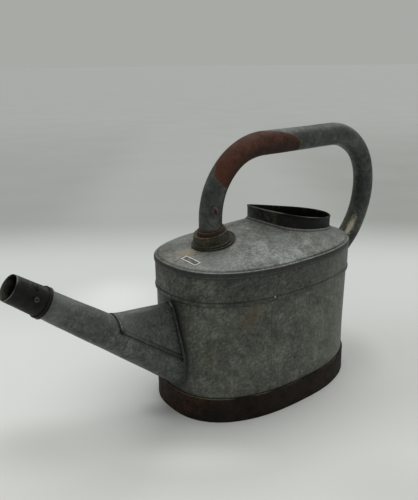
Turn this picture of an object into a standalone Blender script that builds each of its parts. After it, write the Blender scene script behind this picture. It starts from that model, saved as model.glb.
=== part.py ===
"""A weathered galvanised watering can with an oval body, a gusseted spout and a bent tube handle.

Metres, +Z up. The origin is under the middle of the whole can, on the floor; the spout points
along -X. Every mesh is drawn round the middle of the body, and one empty carries them all to
their place. Nothing on the can moves: its pieces are soldered, seamed or pressed together.
"""
import math

import bmesh
import bpy
from mathutils import Vector

# Sheet, clearance and fineness
SHEET = 0.001
GAP = 0.0003
OVAL_STEPS = 72
TUBE_STEPS = 20
STUD_STEPS = 12
SOLDER_STEPS = 14
LABEL_STEPS = 6
BEND_STEP = math.radians(10.0)
SHARP_EDGE = math.radians(35.0)
SEARCH_STEP = 0.002
SEARCH_ROUNDS = 40

# Body: outside sizes of the upper band, whose oval is a superellipse
OVAL_POWER = 2.42
BODY_LENGTH = 0.3224
BODY_WIDTH = 0.2100
BODY_HEIGHT = 0.2200
BAND_HEIGHT = 0.0470
BAND_LAP = 0.0120
BEAD_HEIGHT = 0.0050
BEAD_DEPTH = 0.0010
WALL_FOOT = 0.0020

# Foot
HOOP_HEIGHT = 0.0364
HOOP_THICKNESS = 0.0024
PAN_HEIGHT = 0.0120
PAN_FLANGE = 0.0080

# Top plate: a low oval cone whose peak lies inside the filler hole
PLATE_CROWN = 0.0434
PLATE_SHOULDER = 0.0020
SHOULDER_WIDTH = 0.0035
PEAK_FROM_NECK_FRONT = 0.0334
RIM_DROP = 0.0060

# Filler neck: an oval, placed by the distance of its rear end from the band's. Its top slopes
# down to the rear and droops at its sides
NECK_FROM_REAR = 0.0178
NECK_LENGTH = 0.1456
NECK_WIDTH = 0.1087
NECK_WIDEST = 0.0721
NECK_FRONT_POWER = 2.00
NECK_REAR_POWER = 2.08
NECK_FRONT_RISE = 0.0571
NECK_TOP_SLOPE = 0.1905
NECK_SIDE_DROOP = 0.0037
NECK_BELOW = 0.0030
NECK_ROLL = 0.0008
NECK_ROLL_HEIGHT = 0.0020
LEDGE_WIDTH = 0.0022
LEDGE_HEIGHT = 0.0020

# Spout: a cone from the mouth down to the front of the wall
SPOUT_SLOPE = math.radians(37.0)
SPOUT_LENGTH = 0.2735
SPOUT_ROOT_HEIGHT = 0.0785
SPOUT_ROOT_RADIUS = 0.0280
SPOUT_TIP_RADIUS = 0.0155
SOCKET_LENGTH = 0.0475
SOCKET_OVERLAP = 0.0350
SOCKET_RING_WIDTH = 0.0022
SOCKET_RING_DEPTH = 0.0010
STUD_RADIUS = 0.0026
STUD_HEIGHT = 0.0018
STUD_ALONG = 0.0288
STUD_TURN = math.radians(7.0)
TOP_STUD_ALONG = 0.0263
TOP_STUD_TURN = math.radians(50.0)

# Gusset: distances along the spout from its mouth, and angles above the spout's own sides
GUSSET_FRONT = 0.1410
GUSSET_FRONT_SWEEP = 0.0145
GUSSET_BELOW_BAND = 0.0064
GUSSET_RIDGE_RADIUS = 0.0085
GUSSET_EDGE_TURN = math.radians(20.0)
SEAM_WIDTH_TURN = math.radians(7.0)
SEAM_STEP_TURN = math.radians(1.0)
SOLDER_MARGIN_TURN = math.radians(5.0)
SEAM_WIDTH = 0.0035
SEAM_DEPTH = 0.0010
SOLDER_WIDTH = 0.0036

# Handle: a tube up from the plate, over the top and down to the rear wall
LEG_FROM_FRONT = 0.0742
HANDLE_RADIUS = 0.0165
BEND_ABOVE_BODY = 0.0521
FRONT_BEND = 0.0990
TOP_RISE = math.radians(0.6)
REAR_BEND = 0.0914
HANDLE_OVERHANG = 0.0914
JOINT_TURN = math.radians(70.0)
FOOT_BEND = 0.1227
FOOT_TURN = math.radians(50.0)

# Collar round the handle's front foot, square to the plate
COLLAR_BEHIND_LEG = 0.0047
FLANGE_RADIUS = 0.0323
FLANGE_THICKNESS = 0.0026
CUP_FOOT_RADIUS = 0.0276
CUP_TOP_RADIUS = 0.0240
CUP_HEIGHT = 0.0170
CUP_WALL = 0.0015
RING_RADIUS = 0.0198
RING_HEIGHT = 0.0050

# Eyelet on the front leg, and the blank label on the plate
RIVET_ABOVE_BODY = 0.0665
RIVET_TURN = math.radians(15.0)
RIVET_LEAN = math.radians(22.0)
RIVET_LENGTH = 0.0150
RIVET_WIDTH = 0.0104
RIVET_SLOT_LENGTH = 0.0080
RIVET_SLOT_WIDTH = 0.0034
RIVET_THICKNESS = 0.0012
LABEL_FROM_FRONT = 0.0242
LABEL_Y = -0.0195
LABEL_LENGTH = 0.0330
LABEL_WIDTH = 0.0095
LABEL_THICKNESS = 0.0005

# Places that follow from those sizes
BAND_BOTTOM = BODY_HEIGHT - BAND_HEIGHT
BAND_FRONT = -BODY_LENGTH / 2.0
BAND_REAR = BODY_LENGTH / 2.0
NECK_FRONT = BAND_REAR - NECK_FROM_REAR - NECK_LENGTH
GUSSET_TOP = BAND_BOTTOM - GUSSET_BELOW_BAND
LEG_X = BAND_FRONT + LEG_FROM_FRONT
COLLAR_X = LEG_X + COLLAR_BEHIND_LEG
LABEL_X = BAND_FRONT + LABEL_FROM_FRONT
PEAK_X = NECK_FRONT + PEAK_FROM_NECK_FRONT
BORE_RADIUS = HANDLE_RADIUS + GAP

# Ovals that follow from those sizes, as outsets from the band's outside
BAND_INSIDE = -SHEET
WALL_OUTSIDE = BAND_INSIDE - GAP
WALL_INSIDE = WALL_OUTSIDE - SHEET
PAN_OUTSIDE = WALL_INSIDE - GAP
HOOP_INSIDE = WALL_OUTSIDE + GAP
HOOP_OUTSIDE = HOOP_INSIDE + HOOP_THICKNESS
RIM_INSIDE = GAP
RIM_OUTSIDE = RIM_INSIDE + SHEET

FINISHES = {
    "galvanised_wall": ((0.075, 0.088, 0.076), 0.55, 0.6),
    "galvanised_plate": ((0.160, 0.170, 0.165), 0.50, 0.6),
    "rusted_iron": ((0.022, 0.011, 0.006), 0.80, 0.2),
    "blackened_sheet": ((0.016, 0.013, 0.010), 0.60, 0.4),
    "zinc_tube": ((0.075, 0.088, 0.092), 0.45, 0.6),
    "stained_collar": ((0.055, 0.038, 0.022), 0.65, 0.3),
    "solder": ((0.055, 0.055, 0.048), 0.60, 0.4),
    "label": ((0.050, 0.050, 0.048), 0.70, 0.0),
}


# Meshes

def material(name):
    """A Principled material in the finish of that name."""
    made = bpy.data.materials.get(name)
    if made is None:
        colour, roughness, metallic = FINISHES[name]
        made = bpy.data.materials.new(name)
        made.use_nodes = True
        shader = made.node_tree.nodes["Principled BSDF"]
        shader.inputs["Base Color"].default_value = (*colour, 1.0)
        shader.inputs["Roughness"].default_value = roughness
        shader.inputs["Metallic"].default_value = metallic
    return made


def lofted(name, rings, finish, wrap=True):
    """One closed body through rings of points: wrapped into a loop, or capped at both ends."""
    mesh = bpy.data.meshes.new(name)
    shape = bmesh.new()
    rows = [[shape.verts.new(point) for point in ring] for ring in rings]
    count = len(rows[0])
    pairs = list(zip(rows, rows[1:]))
    if wrap:
        pairs.append((rows[-1], rows[0]))
    for lower, upper in pairs:
        for i in range(count):
            j = (i + 1) % count
            shape.faces.new((lower[i], lower[j], upper[j], upper[i]))
    if not wrap:
        shape.faces.new(rows[0])
        shape.faces.new(rows[-1])
    bmesh.ops.recalc_face_normals(shape, faces=shape.faces)
    shape.to_mesh(mesh)
    shape.free()
    mesh.shade_smooth()
    mesh.set_sharp_from_angle(angle=SHARP_EDGE)
    mesh.materials.append(material(finish))
    made = bpy.data.objects.new(name, mesh)
    bpy.context.scene.collection.objects.link(made)
    return made


def circle(steps):
    """Evenly spaced angles round a circle."""
    return [2.0 * math.pi * i / steps for i in range(steps)]


# The body's oval

def oval_halves(outset):
    """Half length and half width of the body's oval, moved out from the band's outside."""
    return BODY_LENGTH / 2.0 + outset, BODY_WIDTH / 2.0 + outset


def oval_edge(outset):
    """Points round the body's oval, as (x, y)."""
    half_length, half_width = oval_halves(outset)
    share = 2.0 / OVAL_POWER
    edge = []
    for angle in circle(OVAL_STEPS):
        along = math.cos(angle)
        across = math.sin(angle)
        x = math.copysign(abs(along) ** share, along) * half_length
        y = math.copysign(abs(across) ** share, across) * half_width
        edge.append((x, y))
    return edge


def oval_ring(outset, height):
    """A level ring on the body's oval."""
    return [(x, y, height) for x, y in oval_edge(outset)]


def in_oval(x, y, outset):
    half_length, half_width = oval_halves(outset)
    return abs(x / half_length) ** OVAL_POWER + abs(y / half_width) ** OVAL_POWER < 1.0


def last_true(test, low, high):
    """The largest value that passes a test which holds at low and fails at high."""
    for _ in range(SEARCH_ROUNDS):
        middle = (low + high) / 2.0
        if test(middle):
            low = middle
        else:
            high = middle
    return low


def distance_to_wall(point_at, outset):
    """How far along a line, given by a function, it comes in through the body's oval."""
    def outside(distance):
        x, y, _ = point_at(distance)
        return not in_oval(x, y, outset)

    far = SEARCH_STEP
    while outside(far):
        far += SEARCH_STEP
    return last_true(outside, far - SEARCH_STEP, far)


# The top plate and the filler neck

def plate_height(x, y):
    """Height of the plate's upper face over a point, from how far it lies from peak to rim."""
    def beyond(share):
        return not in_oval(PEAK_X + (x - PEAK_X) / share, y / share, RIM_OUTSIDE)

    share = last_true(beyond, SHEET, 2.0)
    return BODY_HEIGHT + PLATE_SHOULDER + PLATE_CROWN * (1.0 - share)


def in_neck(x, y, outset):
    """Whether a point lies inside the neck's outline, moved out by outset."""
    from_widest = x - NECK_FRONT - NECK_WIDEST
    if from_widest < 0.0:
        reach = NECK_WIDEST + outset
        power = NECK_FRONT_POWER
    else:
        reach = NECK_LENGTH - NECK_WIDEST + outset
        power = NECK_REAR_POWER
    half_width = NECK_WIDTH / 2.0 + outset
    return abs(from_widest / reach) ** power + abs(y / half_width) ** power < 1.0


def neck_edge(outset):
    """Points round the neck's outline, on lines from the plate's peak to its rim."""
    edge = []
    for far_x, far_y in oval_edge(RIM_OUTSIDE):
        def inside(share):
            return in_neck(PEAK_X + (far_x - PEAK_X) * share, far_y * share, outset)

        share = last_true(inside, 0.0, 1.0)
        edge.append((PEAK_X + (far_x - PEAK_X) * share, far_y * share))
    return edge


def on_plate(edge, lift):
    """A ring over an outline, a given height above the plate."""
    return [(x, y, plate_height(x, y) + lift) for x, y in edge]


def make_plate():
    hole = neck_edge(GAP)
    shoulder = oval_edge(RIM_OUTSIDE - SHOULDER_WIDTH)
    lip = oval_edge(RIM_OUTSIDE - SHEET)
    foot = BODY_HEIGHT - RIM_DROP
    under_rim = BODY_HEIGHT - SHEET
    rings = [
        on_plate(hole, 0.0),
        on_plate(shoulder, 0.0),
        [(x, y, BODY_HEIGHT + PLATE_SHOULDER / 2.0) for x, y in lip],
        oval_ring(RIM_OUTSIDE, BODY_HEIGHT),
        oval_ring(RIM_OUTSIDE, foot),
        oval_ring(RIM_INSIDE, foot),
        oval_ring(RIM_INSIDE, under_rim),
        on_plate(shoulder, -SHEET),
        on_plate(hole, -SHEET),
    ]
    lofted("top_plate", rings, "galvanised_plate")


def under_neck_top(edge, drop):
    """A ring over an outline, a given depth below the neck's sloping top."""
    ring = []
    for x, y in edge:
        rise = NECK_FRONT_RISE - NECK_TOP_SLOPE * (x - NECK_FRONT)
        droop = NECK_SIDE_DROOP * (2.0 * y / NECK_WIDTH) ** 2
        ring.append((x, y, BODY_HEIGHT + rise - droop - drop))
    return ring


def make_neck():
    outer = neck_edge(0.0)
    rolled = neck_edge(NECK_ROLL)
    inner = neck_edge(-SHEET)
    low = -SHEET - NECK_BELOW
    rings = [
        on_plate(outer, low),
        under_neck_top(outer, NECK_ROLL_HEIGHT),
        under_neck_top(rolled, NECK_ROLL_HEIGHT - NECK_ROLL),
        under_neck_top(rolled, 0.0),
        under_neck_top(inner, 0.0),
        on_plate(inner, low),
    ]
    lofted("filler_neck", rings, "blackened_sheet")

    ledge_inside = neck_edge(GAP)
    ledge_outside = neck_edge(GAP + LEDGE_WIDTH)
    rings = [
        on_plate(ledge_inside, GAP),
        on_plate(ledge_outside, GAP),
        on_plate(ledge_outside, LEDGE_HEIGHT),
        on_plate(ledge_inside, LEDGE_HEIGHT),
    ]
    lofted("neck_ring", rings, "galvanised_plate")


# Body walls and foot

def make_body():
    band_top = BODY_HEIGHT - SHEET - GAP
    bead_top = BAND_BOTTOM + BEAD_HEIGHT
    rings = [
        oval_ring(BEAD_DEPTH, BAND_BOTTOM),
        oval_ring(BEAD_DEPTH, bead_top - BEAD_DEPTH),
        oval_ring(0.0, bead_top),
        oval_ring(0.0, band_top),
        oval_ring(BAND_INSIDE, band_top),
        oval_ring(BAND_INSIDE, BAND_BOTTOM),
    ]
    lofted("upper_band", rings, "galvanised_wall")

    wall_top = BAND_BOTTOM + BAND_LAP
    rings = [
        oval_ring(WALL_OUTSIDE, WALL_FOOT),
        oval_ring(WALL_OUTSIDE, wall_top),
        oval_ring(WALL_INSIDE, wall_top),
        oval_ring(WALL_INSIDE, WALL_FOOT),
    ]
    wall = lofted("lower_wall", rings, "galvanised_wall")
    cut_spout_hole(wall)

    rings = [
        oval_ring(HOOP_INSIDE, 0.0),
        oval_ring(HOOP_OUTSIDE, 0.0),
        oval_ring(HOOP_OUTSIDE, HOOP_HEIGHT),
        oval_ring(HOOP_INSIDE, HOOP_HEIGHT),
    ]
    lofted("base_hoop", rings, "rusted_iron")

    pan_foot = PAN_HEIGHT - PAN_FLANGE
    rings = [
        oval_ring(PAN_OUTSIDE, PAN_HEIGHT),
        oval_ring(PAN_OUTSIDE, pan_foot),
        oval_ring(PAN_OUTSIDE - SHEET, pan_foot),
        oval_ring(PAN_OUTSIDE - SHEET, PAN_HEIGHT - SHEET),
    ]
    lofted("bottom_plate", rings, "galvanised_wall", wrap=False)


# Spout

SPOUT_AXIS = Vector((math.cos(SPOUT_SLOPE), 0.0, -math.sin(SPOUT_SLOPE)))
SPOUT_UP = Vector((math.sin(SPOUT_SLOPE), 0.0, math.cos(SPOUT_SLOPE)))
NEAR = Vector((0.0, -1.0, 0.0))
SPOUT_ROOT = Vector((-oval_halves(WALL_OUTSIDE)[0], 0.0, SPOUT_ROOT_HEIGHT))
SPOUT_MOUTH = SPOUT_ROOT - SPOUT_AXIS * SPOUT_LENGTH


def spout_radius(along):
    """Outside radius of the spout's sheet, at a distance from the mouth."""
    return SPOUT_TIP_RADIUS + (SPOUT_ROOT_RADIUS - SPOUT_TIP_RADIUS) * along / SPOUT_LENGTH


def socket_radius(along):
    """Outside radius of the sleeve on the spout's end."""
    return spout_radius(along) + GAP + SHEET


def round_spout(along, turn, radius):
    """A point round the spout's axis; turn 0 is the near side, a quarter turn the top."""
    out = NEAR * math.cos(turn) + SPOUT_UP * math.sin(turn)
    return SPOUT_MOUTH + SPOUT_AXIS * along + out * radius


def spout_ring(along, radius):
    return [round_spout(along, turn, radius) for turn in circle(TUBE_STEPS)]


def spout_end_ring(inset):
    """The spout's end, cut to the wall's outside with the usual gap."""
    ring = []
    for turn in circle(TUBE_STEPS):
        def at(along):
            return round_spout(along, turn, spout_radius(along) - inset)

        along = distance_to_wall(at, WALL_OUTSIDE + GAP)
        ring.append(at(along))
    return ring


def cut_spout_hole(wall):
    """Cut the spout's bore out of the wall with a cone that runs on inside the can."""
    reach = SPOUT_LENGTH / 2.0
    rings = []
    for along in (SPOUT_LENGTH - reach, SPOUT_LENGTH + reach):
        rings.append(spout_ring(along, spout_radius(along) - SHEET))
    cutter = lofted("spout_hole_cutter", rings, "galvanised_wall", wrap=False)
    cutter.hide_render = True
    cutter.display_type = "WIRE"
    cut = wall.modifiers.new("spout_hole", "BOOLEAN")
    cut.operation = "DIFFERENCE"
    cut.object = cutter


def make_spout():
    start = SOCKET_LENGTH - SOCKET_OVERLAP
    rings = [
        spout_ring(start, spout_radius(start)),
        spout_end_ring(0.0),
        spout_end_ring(SHEET),
        spout_ring(start, spout_radius(start) - SHEET),
    ]
    lofted("spout_tube", rings, "zinc_tube")

    rings = [
        spout_ring(0.0, socket_radius(0.0)),
        spout_ring(SOCKET_LENGTH, socket_radius(SOCKET_LENGTH)),
        spout_ring(SOCKET_LENGTH, socket_radius(SOCKET_LENGTH) - SHEET),
        spout_ring(0.0, socket_radius(0.0) - SHEET),
    ]
    lofted("spout_socket", rings, "blackened_sheet")

    on_sleeve = SOCKET_LENGTH - 2.0 * SOCKET_RING_WIDTH
    make_socket_ring("socket_ring_front", on_sleeve, socket_radius)
    make_socket_ring("socket_ring_rear", SOCKET_LENGTH + GAP, spout_radius)
    make_stud("rose_stud_side", STUD_ALONG, STUD_TURN)
    make_stud("rose_stud_top", TOP_STUD_ALONG, TOP_STUD_TURN)


def make_socket_ring(name, start, carrier_radius):
    """A thin raised ring on the sleeve, or on the spout just behind it."""
    end = start + SOCKET_RING_WIDTH
    proud = socket_radius(end) + GAP + SOCKET_RING_DEPTH
    rings = [
        spout_ring(start, carrier_radius(start) + GAP),
        spout_ring(start, proud),
        spout_ring(end, proud),
        spout_ring(end, carrier_radius(end) + GAP),
    ]
    lofted(name, rings, "blackened_sheet")


def make_stud(name, along, turn):
    """A round stud on the sleeve, its foot curved to the sleeve."""
    out = NEAR * math.cos(turn) + SPOUT_UP * math.sin(turn)
    side = SPOUT_AXIS.cross(out)
    rings = []
    crown = STUD_RADIUS / 2.0
    for radius, lift in ((STUD_RADIUS, GAP), (STUD_RADIUS, STUD_HEIGHT), (crown, STUD_HEIGHT)):
        ring = []
        for angle in circle(STUD_STEPS):
            forward = radius * math.cos(angle)
            across = radius * math.sin(angle)
            sleeve = socket_radius(along + forward)
            rise = math.sqrt(sleeve ** 2 - across ** 2) + lift
            centre = SPOUT_MOUTH + SPOUT_AXIS * (along + forward)
            ring.append(centre + side * across + out * rise)
        rings.append(ring)
    lofted(name, rings, "blackened_sheet", wrap=False)


# Gusset: each section is the hull of the spout's circle and a small circle under the ridge

SPOUT_TO_WALL_TOP = Vector((SPOUT_ROOT.x, 0.0, GUSSET_TOP)) - SPOUT_MOUTH
RIDGE_END_ALONG = SPOUT_TO_WALL_TOP.dot(SPOUT_AXIS)
RIDGE_END_HEIGHT = SPOUT_TO_WALL_TOP.dot(SPOUT_UP)
RIDGE_START_HEIGHT = spout_radius(GUSSET_FRONT) + GAP + SHEET
RIDGE_SLOPE = (RIDGE_END_HEIGHT - RIDGE_START_HEIGHT) / (RIDGE_END_ALONG - GUSSET_FRONT)
SHARES_UP_THE_SIDE = (0.2, 0.4, 0.6, 0.75, 0.86, 0.93, 0.98)
SHARES_TO_THE_WALL = (0.25, 0.5, 0.75)


def gusset_distance(along, turn, inset):
    """Distance from the spout's axis to the gusset's face, inset from its outside."""
    big = spout_radius(along) + GAP + SHEET - inset
    small = GUSSET_RIDGE_RADIUS - inset
    ridge = RIDGE_START_HEIGHT + (along - GUSSET_FRONT) * RIDGE_SLOPE - inset
    centre = ridge - small
    if centre + small <= big or centre <= abs(big - small):
        return big
    up = math.pi / 2.0
    turn = turn if turn <= up else math.pi - turn
    tangent = math.asin((big - small) / centre)
    if turn <= tangent:
        return big
    side_end = Vector((small * math.cos(tangent), centre + small * math.sin(tangent)))
    if turn <= math.atan2(side_end.y, side_end.x):
        return big / math.cos(turn - tangent)
    return centre * math.sin(turn) + math.sqrt(small ** 2 - (centre * math.cos(turn)) ** 2)


def gusset_turns():
    """Angles across the gusset, closer together at its edges and at its ridge."""
    up = math.pi / 2.0
    inner = GUSSET_EDGE_TURN + SEAM_WIDTH_TURN
    near = [GUSSET_EDGE_TURN, inner, inner + SEAM_STEP_TURN]
    for share in SHARES_UP_THE_SIDE:
        near.append(inner + (up - inner) * share)
    return near + [up] + [math.pi - turn for turn in reversed(near)]


def gusset_front(turn):
    """Where the gusset's front edge lies along the spout, swept back down its sides."""
    share = abs(math.pi / 2.0 - turn) / (math.pi / 2.0 - GUSSET_EDGE_TURN)
    return GUSSET_FRONT + GUSSET_FRONT_SWEEP * share ** 2


def gusset_line(turn, inset, at_edge):
    """Points along the gusset from its front edge to the wall, with the folded seam's rise."""
    start = gusset_front(turn)

    def at(along, rise=0.0):
        return round_spout(along, turn, gusset_distance(along, turn, inset) + rise)

    rise = SEAM_DEPTH if inset == 0.0 else 0.0
    edge_rise = rise if at_edge else 0.0
    end = distance_to_wall(lambda along: at(along, edge_rise), WALL_OUTSIDE + GAP)
    fold = start + SEAM_WIDTH
    line = [at(start, rise), at(fold, rise), at(fold + SEAM_DEPTH, edge_rise)]
    for share in SHARES_TO_THE_WALL:
        line.append(at(fold + (end - fold) * share, edge_rise))
    line.append(at(end, edge_rise))
    return line


def make_gusset():
    turns = gusset_turns()
    last = len(turns) - 1
    outer = []
    inner = []
    for i, turn in enumerate(turns):
        at_edge = i <= 1 or i >= last - 1
        outer.append(gusset_line(turn, 0.0, at_edge))
        inner.append(gusset_line(turn, SHEET, at_edge))
    rings = []
    for top, under in zip(outer, inner):
        rings.append(top + list(reversed(under)))
    lofted("spout_gusset", rings, "zinc_tube", wrap=False)


def make_spout_solder():
    """A fillet of solder round the spout and gusset, where they meet the wall."""
    margin = SOLDER_MARGIN_TURN
    near_edge = GUSSET_EDGE_TURN
    far_edge = math.pi - GUSSET_EDGE_TURN

    def carrier(along, turn):
        if near_edge - margin < turn < far_edge + margin:
            over = min(max(turn, near_edge), far_edge)
            return gusset_distance(along, over, 0.0) + SEAM_DEPTH
        return spout_radius(along)

    def corner(turn, out, lift):
        def at(along):
            return round_spout(along, turn, carrier(along, turn) + out)

        return at(distance_to_wall(at, WALL_OUTSIDE + lift))

    around = [near_edge - margin / 2.0] + gusset_turns() + [far_edge + margin / 2.0]
    below_start = far_edge + 2.0 * margin
    below_end = near_edge - 2.0 * margin + 2.0 * math.pi
    for i in range(SOLDER_STEPS + 1):
        around.append(below_start + (below_end - below_start) * i / SOLDER_STEPS)
    rings = [
        [corner(turn, GAP, GAP) for turn in around],
        [corner(turn, SOLDER_WIDTH, GAP) for turn in around],
        [corner(turn, GAP, SOLDER_WIDTH) for turn in around],
    ]
    lofted("spout_solder", rings, "solder")


# Handle

def traced(start, heading, moves):
    """Points and headings along straight and bent lengths, bends turning clockwise."""
    x, z = start
    path = [(x, z, heading)]
    for kind, size, turn in moves:
        if kind == "line":
            x += math.cos(heading) * size
            z += math.sin(heading) * size
            path.append((x, z, heading))
            continue
        centre_x = x + size * math.sin(heading)
        centre_z = z - size * math.cos(heading)
        steps = max(1, round(turn / BEND_STEP))
        begin = heading
        for i in range(1, steps + 1):
            heading = begin - turn * i / steps
            x = centre_x - size * math.sin(heading)
            z = centre_z + size * math.cos(heading)
            path.append((x, z, heading))
    return path


LEG_FOOT = plate_height(LEG_X, 0.0)
QUARTER = math.pi / 2.0
LEVEL_RUN = BAND_REAR + HANDLE_OVERHANG - LEG_X
LEVEL_IN_BENDS = FRONT_BEND * (1.0 - math.sin(TOP_RISE)) + REAR_BEND * (1.0 + math.sin(TOP_RISE))
TOP_LENGTH = (LEVEL_RUN - LEVEL_IN_BENDS) / math.cos(TOP_RISE)
FRONT_PATH = traced((LEG_X, LEG_FOOT), QUARTER, [
    ("line", BODY_HEIGHT + BEND_ABOVE_BODY - LEG_FOOT, 0.0),
    ("arc", FRONT_BEND, QUARTER - TOP_RISE),
    ("line", TOP_LENGTH, 0.0),
    ("arc", REAR_BEND, JOINT_TURN),
])
JOINT_X, JOINT_Z, JOINT_HEADING = FRONT_PATH[-1]
REAR_PATH = traced((JOINT_X, JOINT_Z), JOINT_HEADING, [
    ("arc", REAR_BEND, QUARTER + TOP_RISE - JOINT_TURN),
    ("arc", FOOT_BEND, FOOT_TURN),
])
SWAGE_PATH = REAR_PATH[:2]


def round_tube(place, turn, radius):
    """A point round the handle's tube; turn 0 is the outer side of the bends."""
    x, z, heading = place
    out = Vector((-math.sin(heading), 0.0, math.cos(heading)))
    return Vector((x, 0.0, z)) + (out * math.cos(turn) + NEAR * math.sin(turn)) * radius


def tube_ring(place, radius):
    return [round_tube(place, turn, radius) for turn in circle(TUBE_STEPS)]


def foot_point(place, turn, radius, lift):
    """Where a line of the handle's rear foot comes to the wall, lifted off it."""
    heading = place[2]
    ahead = Vector((math.cos(heading), 0.0, math.sin(heading)))
    start = round_tube(place, turn, radius)

    def at(distance):
        return start + ahead * distance

    return at(distance_to_wall(at, WALL_OUTSIDE + lift))


def make_handle():
    bore = HANDLE_RADIUS - SHEET
    swage = bore - GAP
    foot = []
    foot_bore = []
    for turn in circle(TUBE_STEPS):
        for ring, radius in ((foot, HANDLE_RADIUS), (foot_bore, bore)):
            x, y, _ = round_tube(FRONT_PATH[0], turn, radius)
            ring.append((x, y, plate_height(x, y) + GAP))
    rings = [foot]
    rings += [tube_ring(place, HANDLE_RADIUS) for place in FRONT_PATH[1:]]
    rings.append(tube_ring(FRONT_PATH[-1], swage))
    rings += [tube_ring(place, swage) for place in SWAGE_PATH[1:]]
    rings += [tube_ring(place, swage - SHEET) for place in reversed(SWAGE_PATH)]
    rings += [tube_ring(place, bore) for place in reversed(FRONT_PATH[1:-1])]
    rings.append(foot_bore)
    lofted("handle_front_tube", rings, "zinc_tube")

    x, z, heading = REAR_PATH[0]
    start = (x + math.cos(heading) * GAP, z + math.sin(heading) * GAP, heading)
    outer = [tube_ring(place, HANDLE_RADIUS) for place in [start] + REAR_PATH[1:]]
    inner = [tube_ring(place, bore) for place in [start] + REAR_PATH[1:]]
    turns = circle(TUBE_STEPS)
    outer.append([foot_point(REAR_PATH[-1], turn, HANDLE_RADIUS, GAP) for turn in turns])
    inner.append([foot_point(REAR_PATH[-1], turn, bore, GAP) for turn in turns])
    lofted("handle_rear_tube", outer + list(reversed(inner)), "zinc_tube")

    rings = []
    for out, lift in ((GAP, GAP), (SOLDER_WIDTH, GAP), (GAP, SOLDER_WIDTH)):
        radius = HANDLE_RADIUS + out
        rings.append([foot_point(REAR_PATH[-1], turn, radius, lift) for turn in turns])
    lofted("handle_solder", rings, "solder")


# Collar, eyelet and label

COLLAR_Z = plate_height(COLLAR_X, 0.0)
COLLAR_TILT = math.atan2(plate_height(COLLAR_X + SHEET, 0.0) - COLLAR_Z, SHEET)
COLLAR_AXIS = Vector((-math.sin(COLLAR_TILT), 0.0, math.cos(COLLAR_TILT)))
COLLAR_SIDE = Vector((math.cos(COLLAR_TILT), 0.0, math.sin(COLLAR_TILT)))


def collar_ring(radius, height):
    """A ring square to the collar's axis."""
    centre = Vector((COLLAR_X, 0.0, COLLAR_Z)) + COLLAR_AXIS * height
    ring = []
    for turn in circle(2 * TUBE_STEPS):
        ring.append(centre + COLLAR_SIDE * math.cos(turn) * radius - NEAR * math.sin(turn) * radius)
    return ring


def bore_ring(height):
    """A ring on the upright bore round the handle's leg, in the plane of a collar ring."""
    centre = Vector((COLLAR_X, 0.0, COLLAR_Z)) + COLLAR_AXIS * height
    ring = []
    for turn in circle(2 * TUBE_STEPS):
        x = LEG_X + BORE_RADIUS * math.cos(turn)
        z = centre.z + (x - centre.x) * math.tan(COLLAR_TILT)
        ring.append(Vector((x, BORE_RADIUS * math.sin(turn), z)))
    return ring


def settled(ring, lift):
    """The same ring dropped onto the plate, a given height above it."""
    return [Vector((x, y, plate_height(x, y) + lift)) for x, y, _ in ring]


def make_collar():
    flange_top = GAP + FLANGE_THICKNESS
    rings = [
        settled(bore_ring(0.0), GAP),
        settled(collar_ring(FLANGE_RADIUS, 0.0), GAP),
        settled(collar_ring(FLANGE_RADIUS, 0.0), flange_top),
        settled(bore_ring(0.0), flange_top),
    ]
    lofted("collar_flange", rings, "stained_collar")

    cup_foot = flange_top + GAP
    waist = (cup_foot + CUP_HEIGHT) / 2.0
    rings = [
        settled(collar_ring(CUP_FOOT_RADIUS, 0.0), cup_foot),
        collar_ring((CUP_FOOT_RADIUS + CUP_TOP_RADIUS) / 2.0, waist),
        collar_ring(CUP_TOP_RADIUS, CUP_HEIGHT),
        bore_ring(CUP_HEIGHT),
        bore_ring(CUP_HEIGHT - CUP_WALL),
        collar_ring(CUP_TOP_RADIUS - CUP_WALL, CUP_HEIGHT - CUP_WALL),
        collar_ring((CUP_FOOT_RADIUS + CUP_TOP_RADIUS) / 2.0 - CUP_WALL, waist),
        settled(collar_ring(CUP_FOOT_RADIUS - CUP_WALL, 0.0), cup_foot),
    ]
    lofted("collar_cup", rings, "stained_collar")

    ring_foot = CUP_HEIGHT + GAP
    rings = [
        bore_ring(ring_foot),
        collar_ring(RING_RADIUS, ring_foot),
        collar_ring(RING_RADIUS, ring_foot + RING_HEIGHT),
        bore_ring(ring_foot + RING_HEIGHT),
    ]
    lofted("collar_ring", rings, "stained_collar")


def make_rivet():
    """An oval eyelet that follows the round of the leg, with a slot through it."""
    out = Vector((-math.sin(RIVET_TURN), -math.cos(RIVET_TURN), 0.0))
    side = Vector((-out.y, out.x, 0.0))
    centre = Vector((LEG_X, 0.0, BODY_HEIGHT + RIVET_ABOVE_BODY))

    def ring(length, width, lift):
        points = []
        for turn in circle(TUBE_STEPS):
            long_way = length / 2.0 * math.cos(turn)
            short_way = width / 2.0 * math.sin(turn)
            across = -long_way * math.sin(RIVET_LEAN) + short_way * math.cos(RIVET_LEAN)
            up = long_way * math.cos(RIVET_LEAN) + short_way * math.sin(RIVET_LEAN)
            rise = math.sqrt(HANDLE_RADIUS ** 2 - across ** 2) + lift
            points.append(centre + out * rise + side * across + Vector((0.0, 0.0, up)))
        return points

    top = GAP + RIVET_THICKNESS
    rings = [
        ring(RIVET_SLOT_LENGTH, RIVET_SLOT_WIDTH, GAP),
        ring(RIVET_LENGTH, RIVET_WIDTH, GAP),
        ring(RIVET_LENGTH, RIVET_WIDTH, top),
        ring(RIVET_SLOT_LENGTH, RIVET_SLOT_WIDTH, top),
    ]
    lofted("handle_rivet", rings, "stained_collar")


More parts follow.
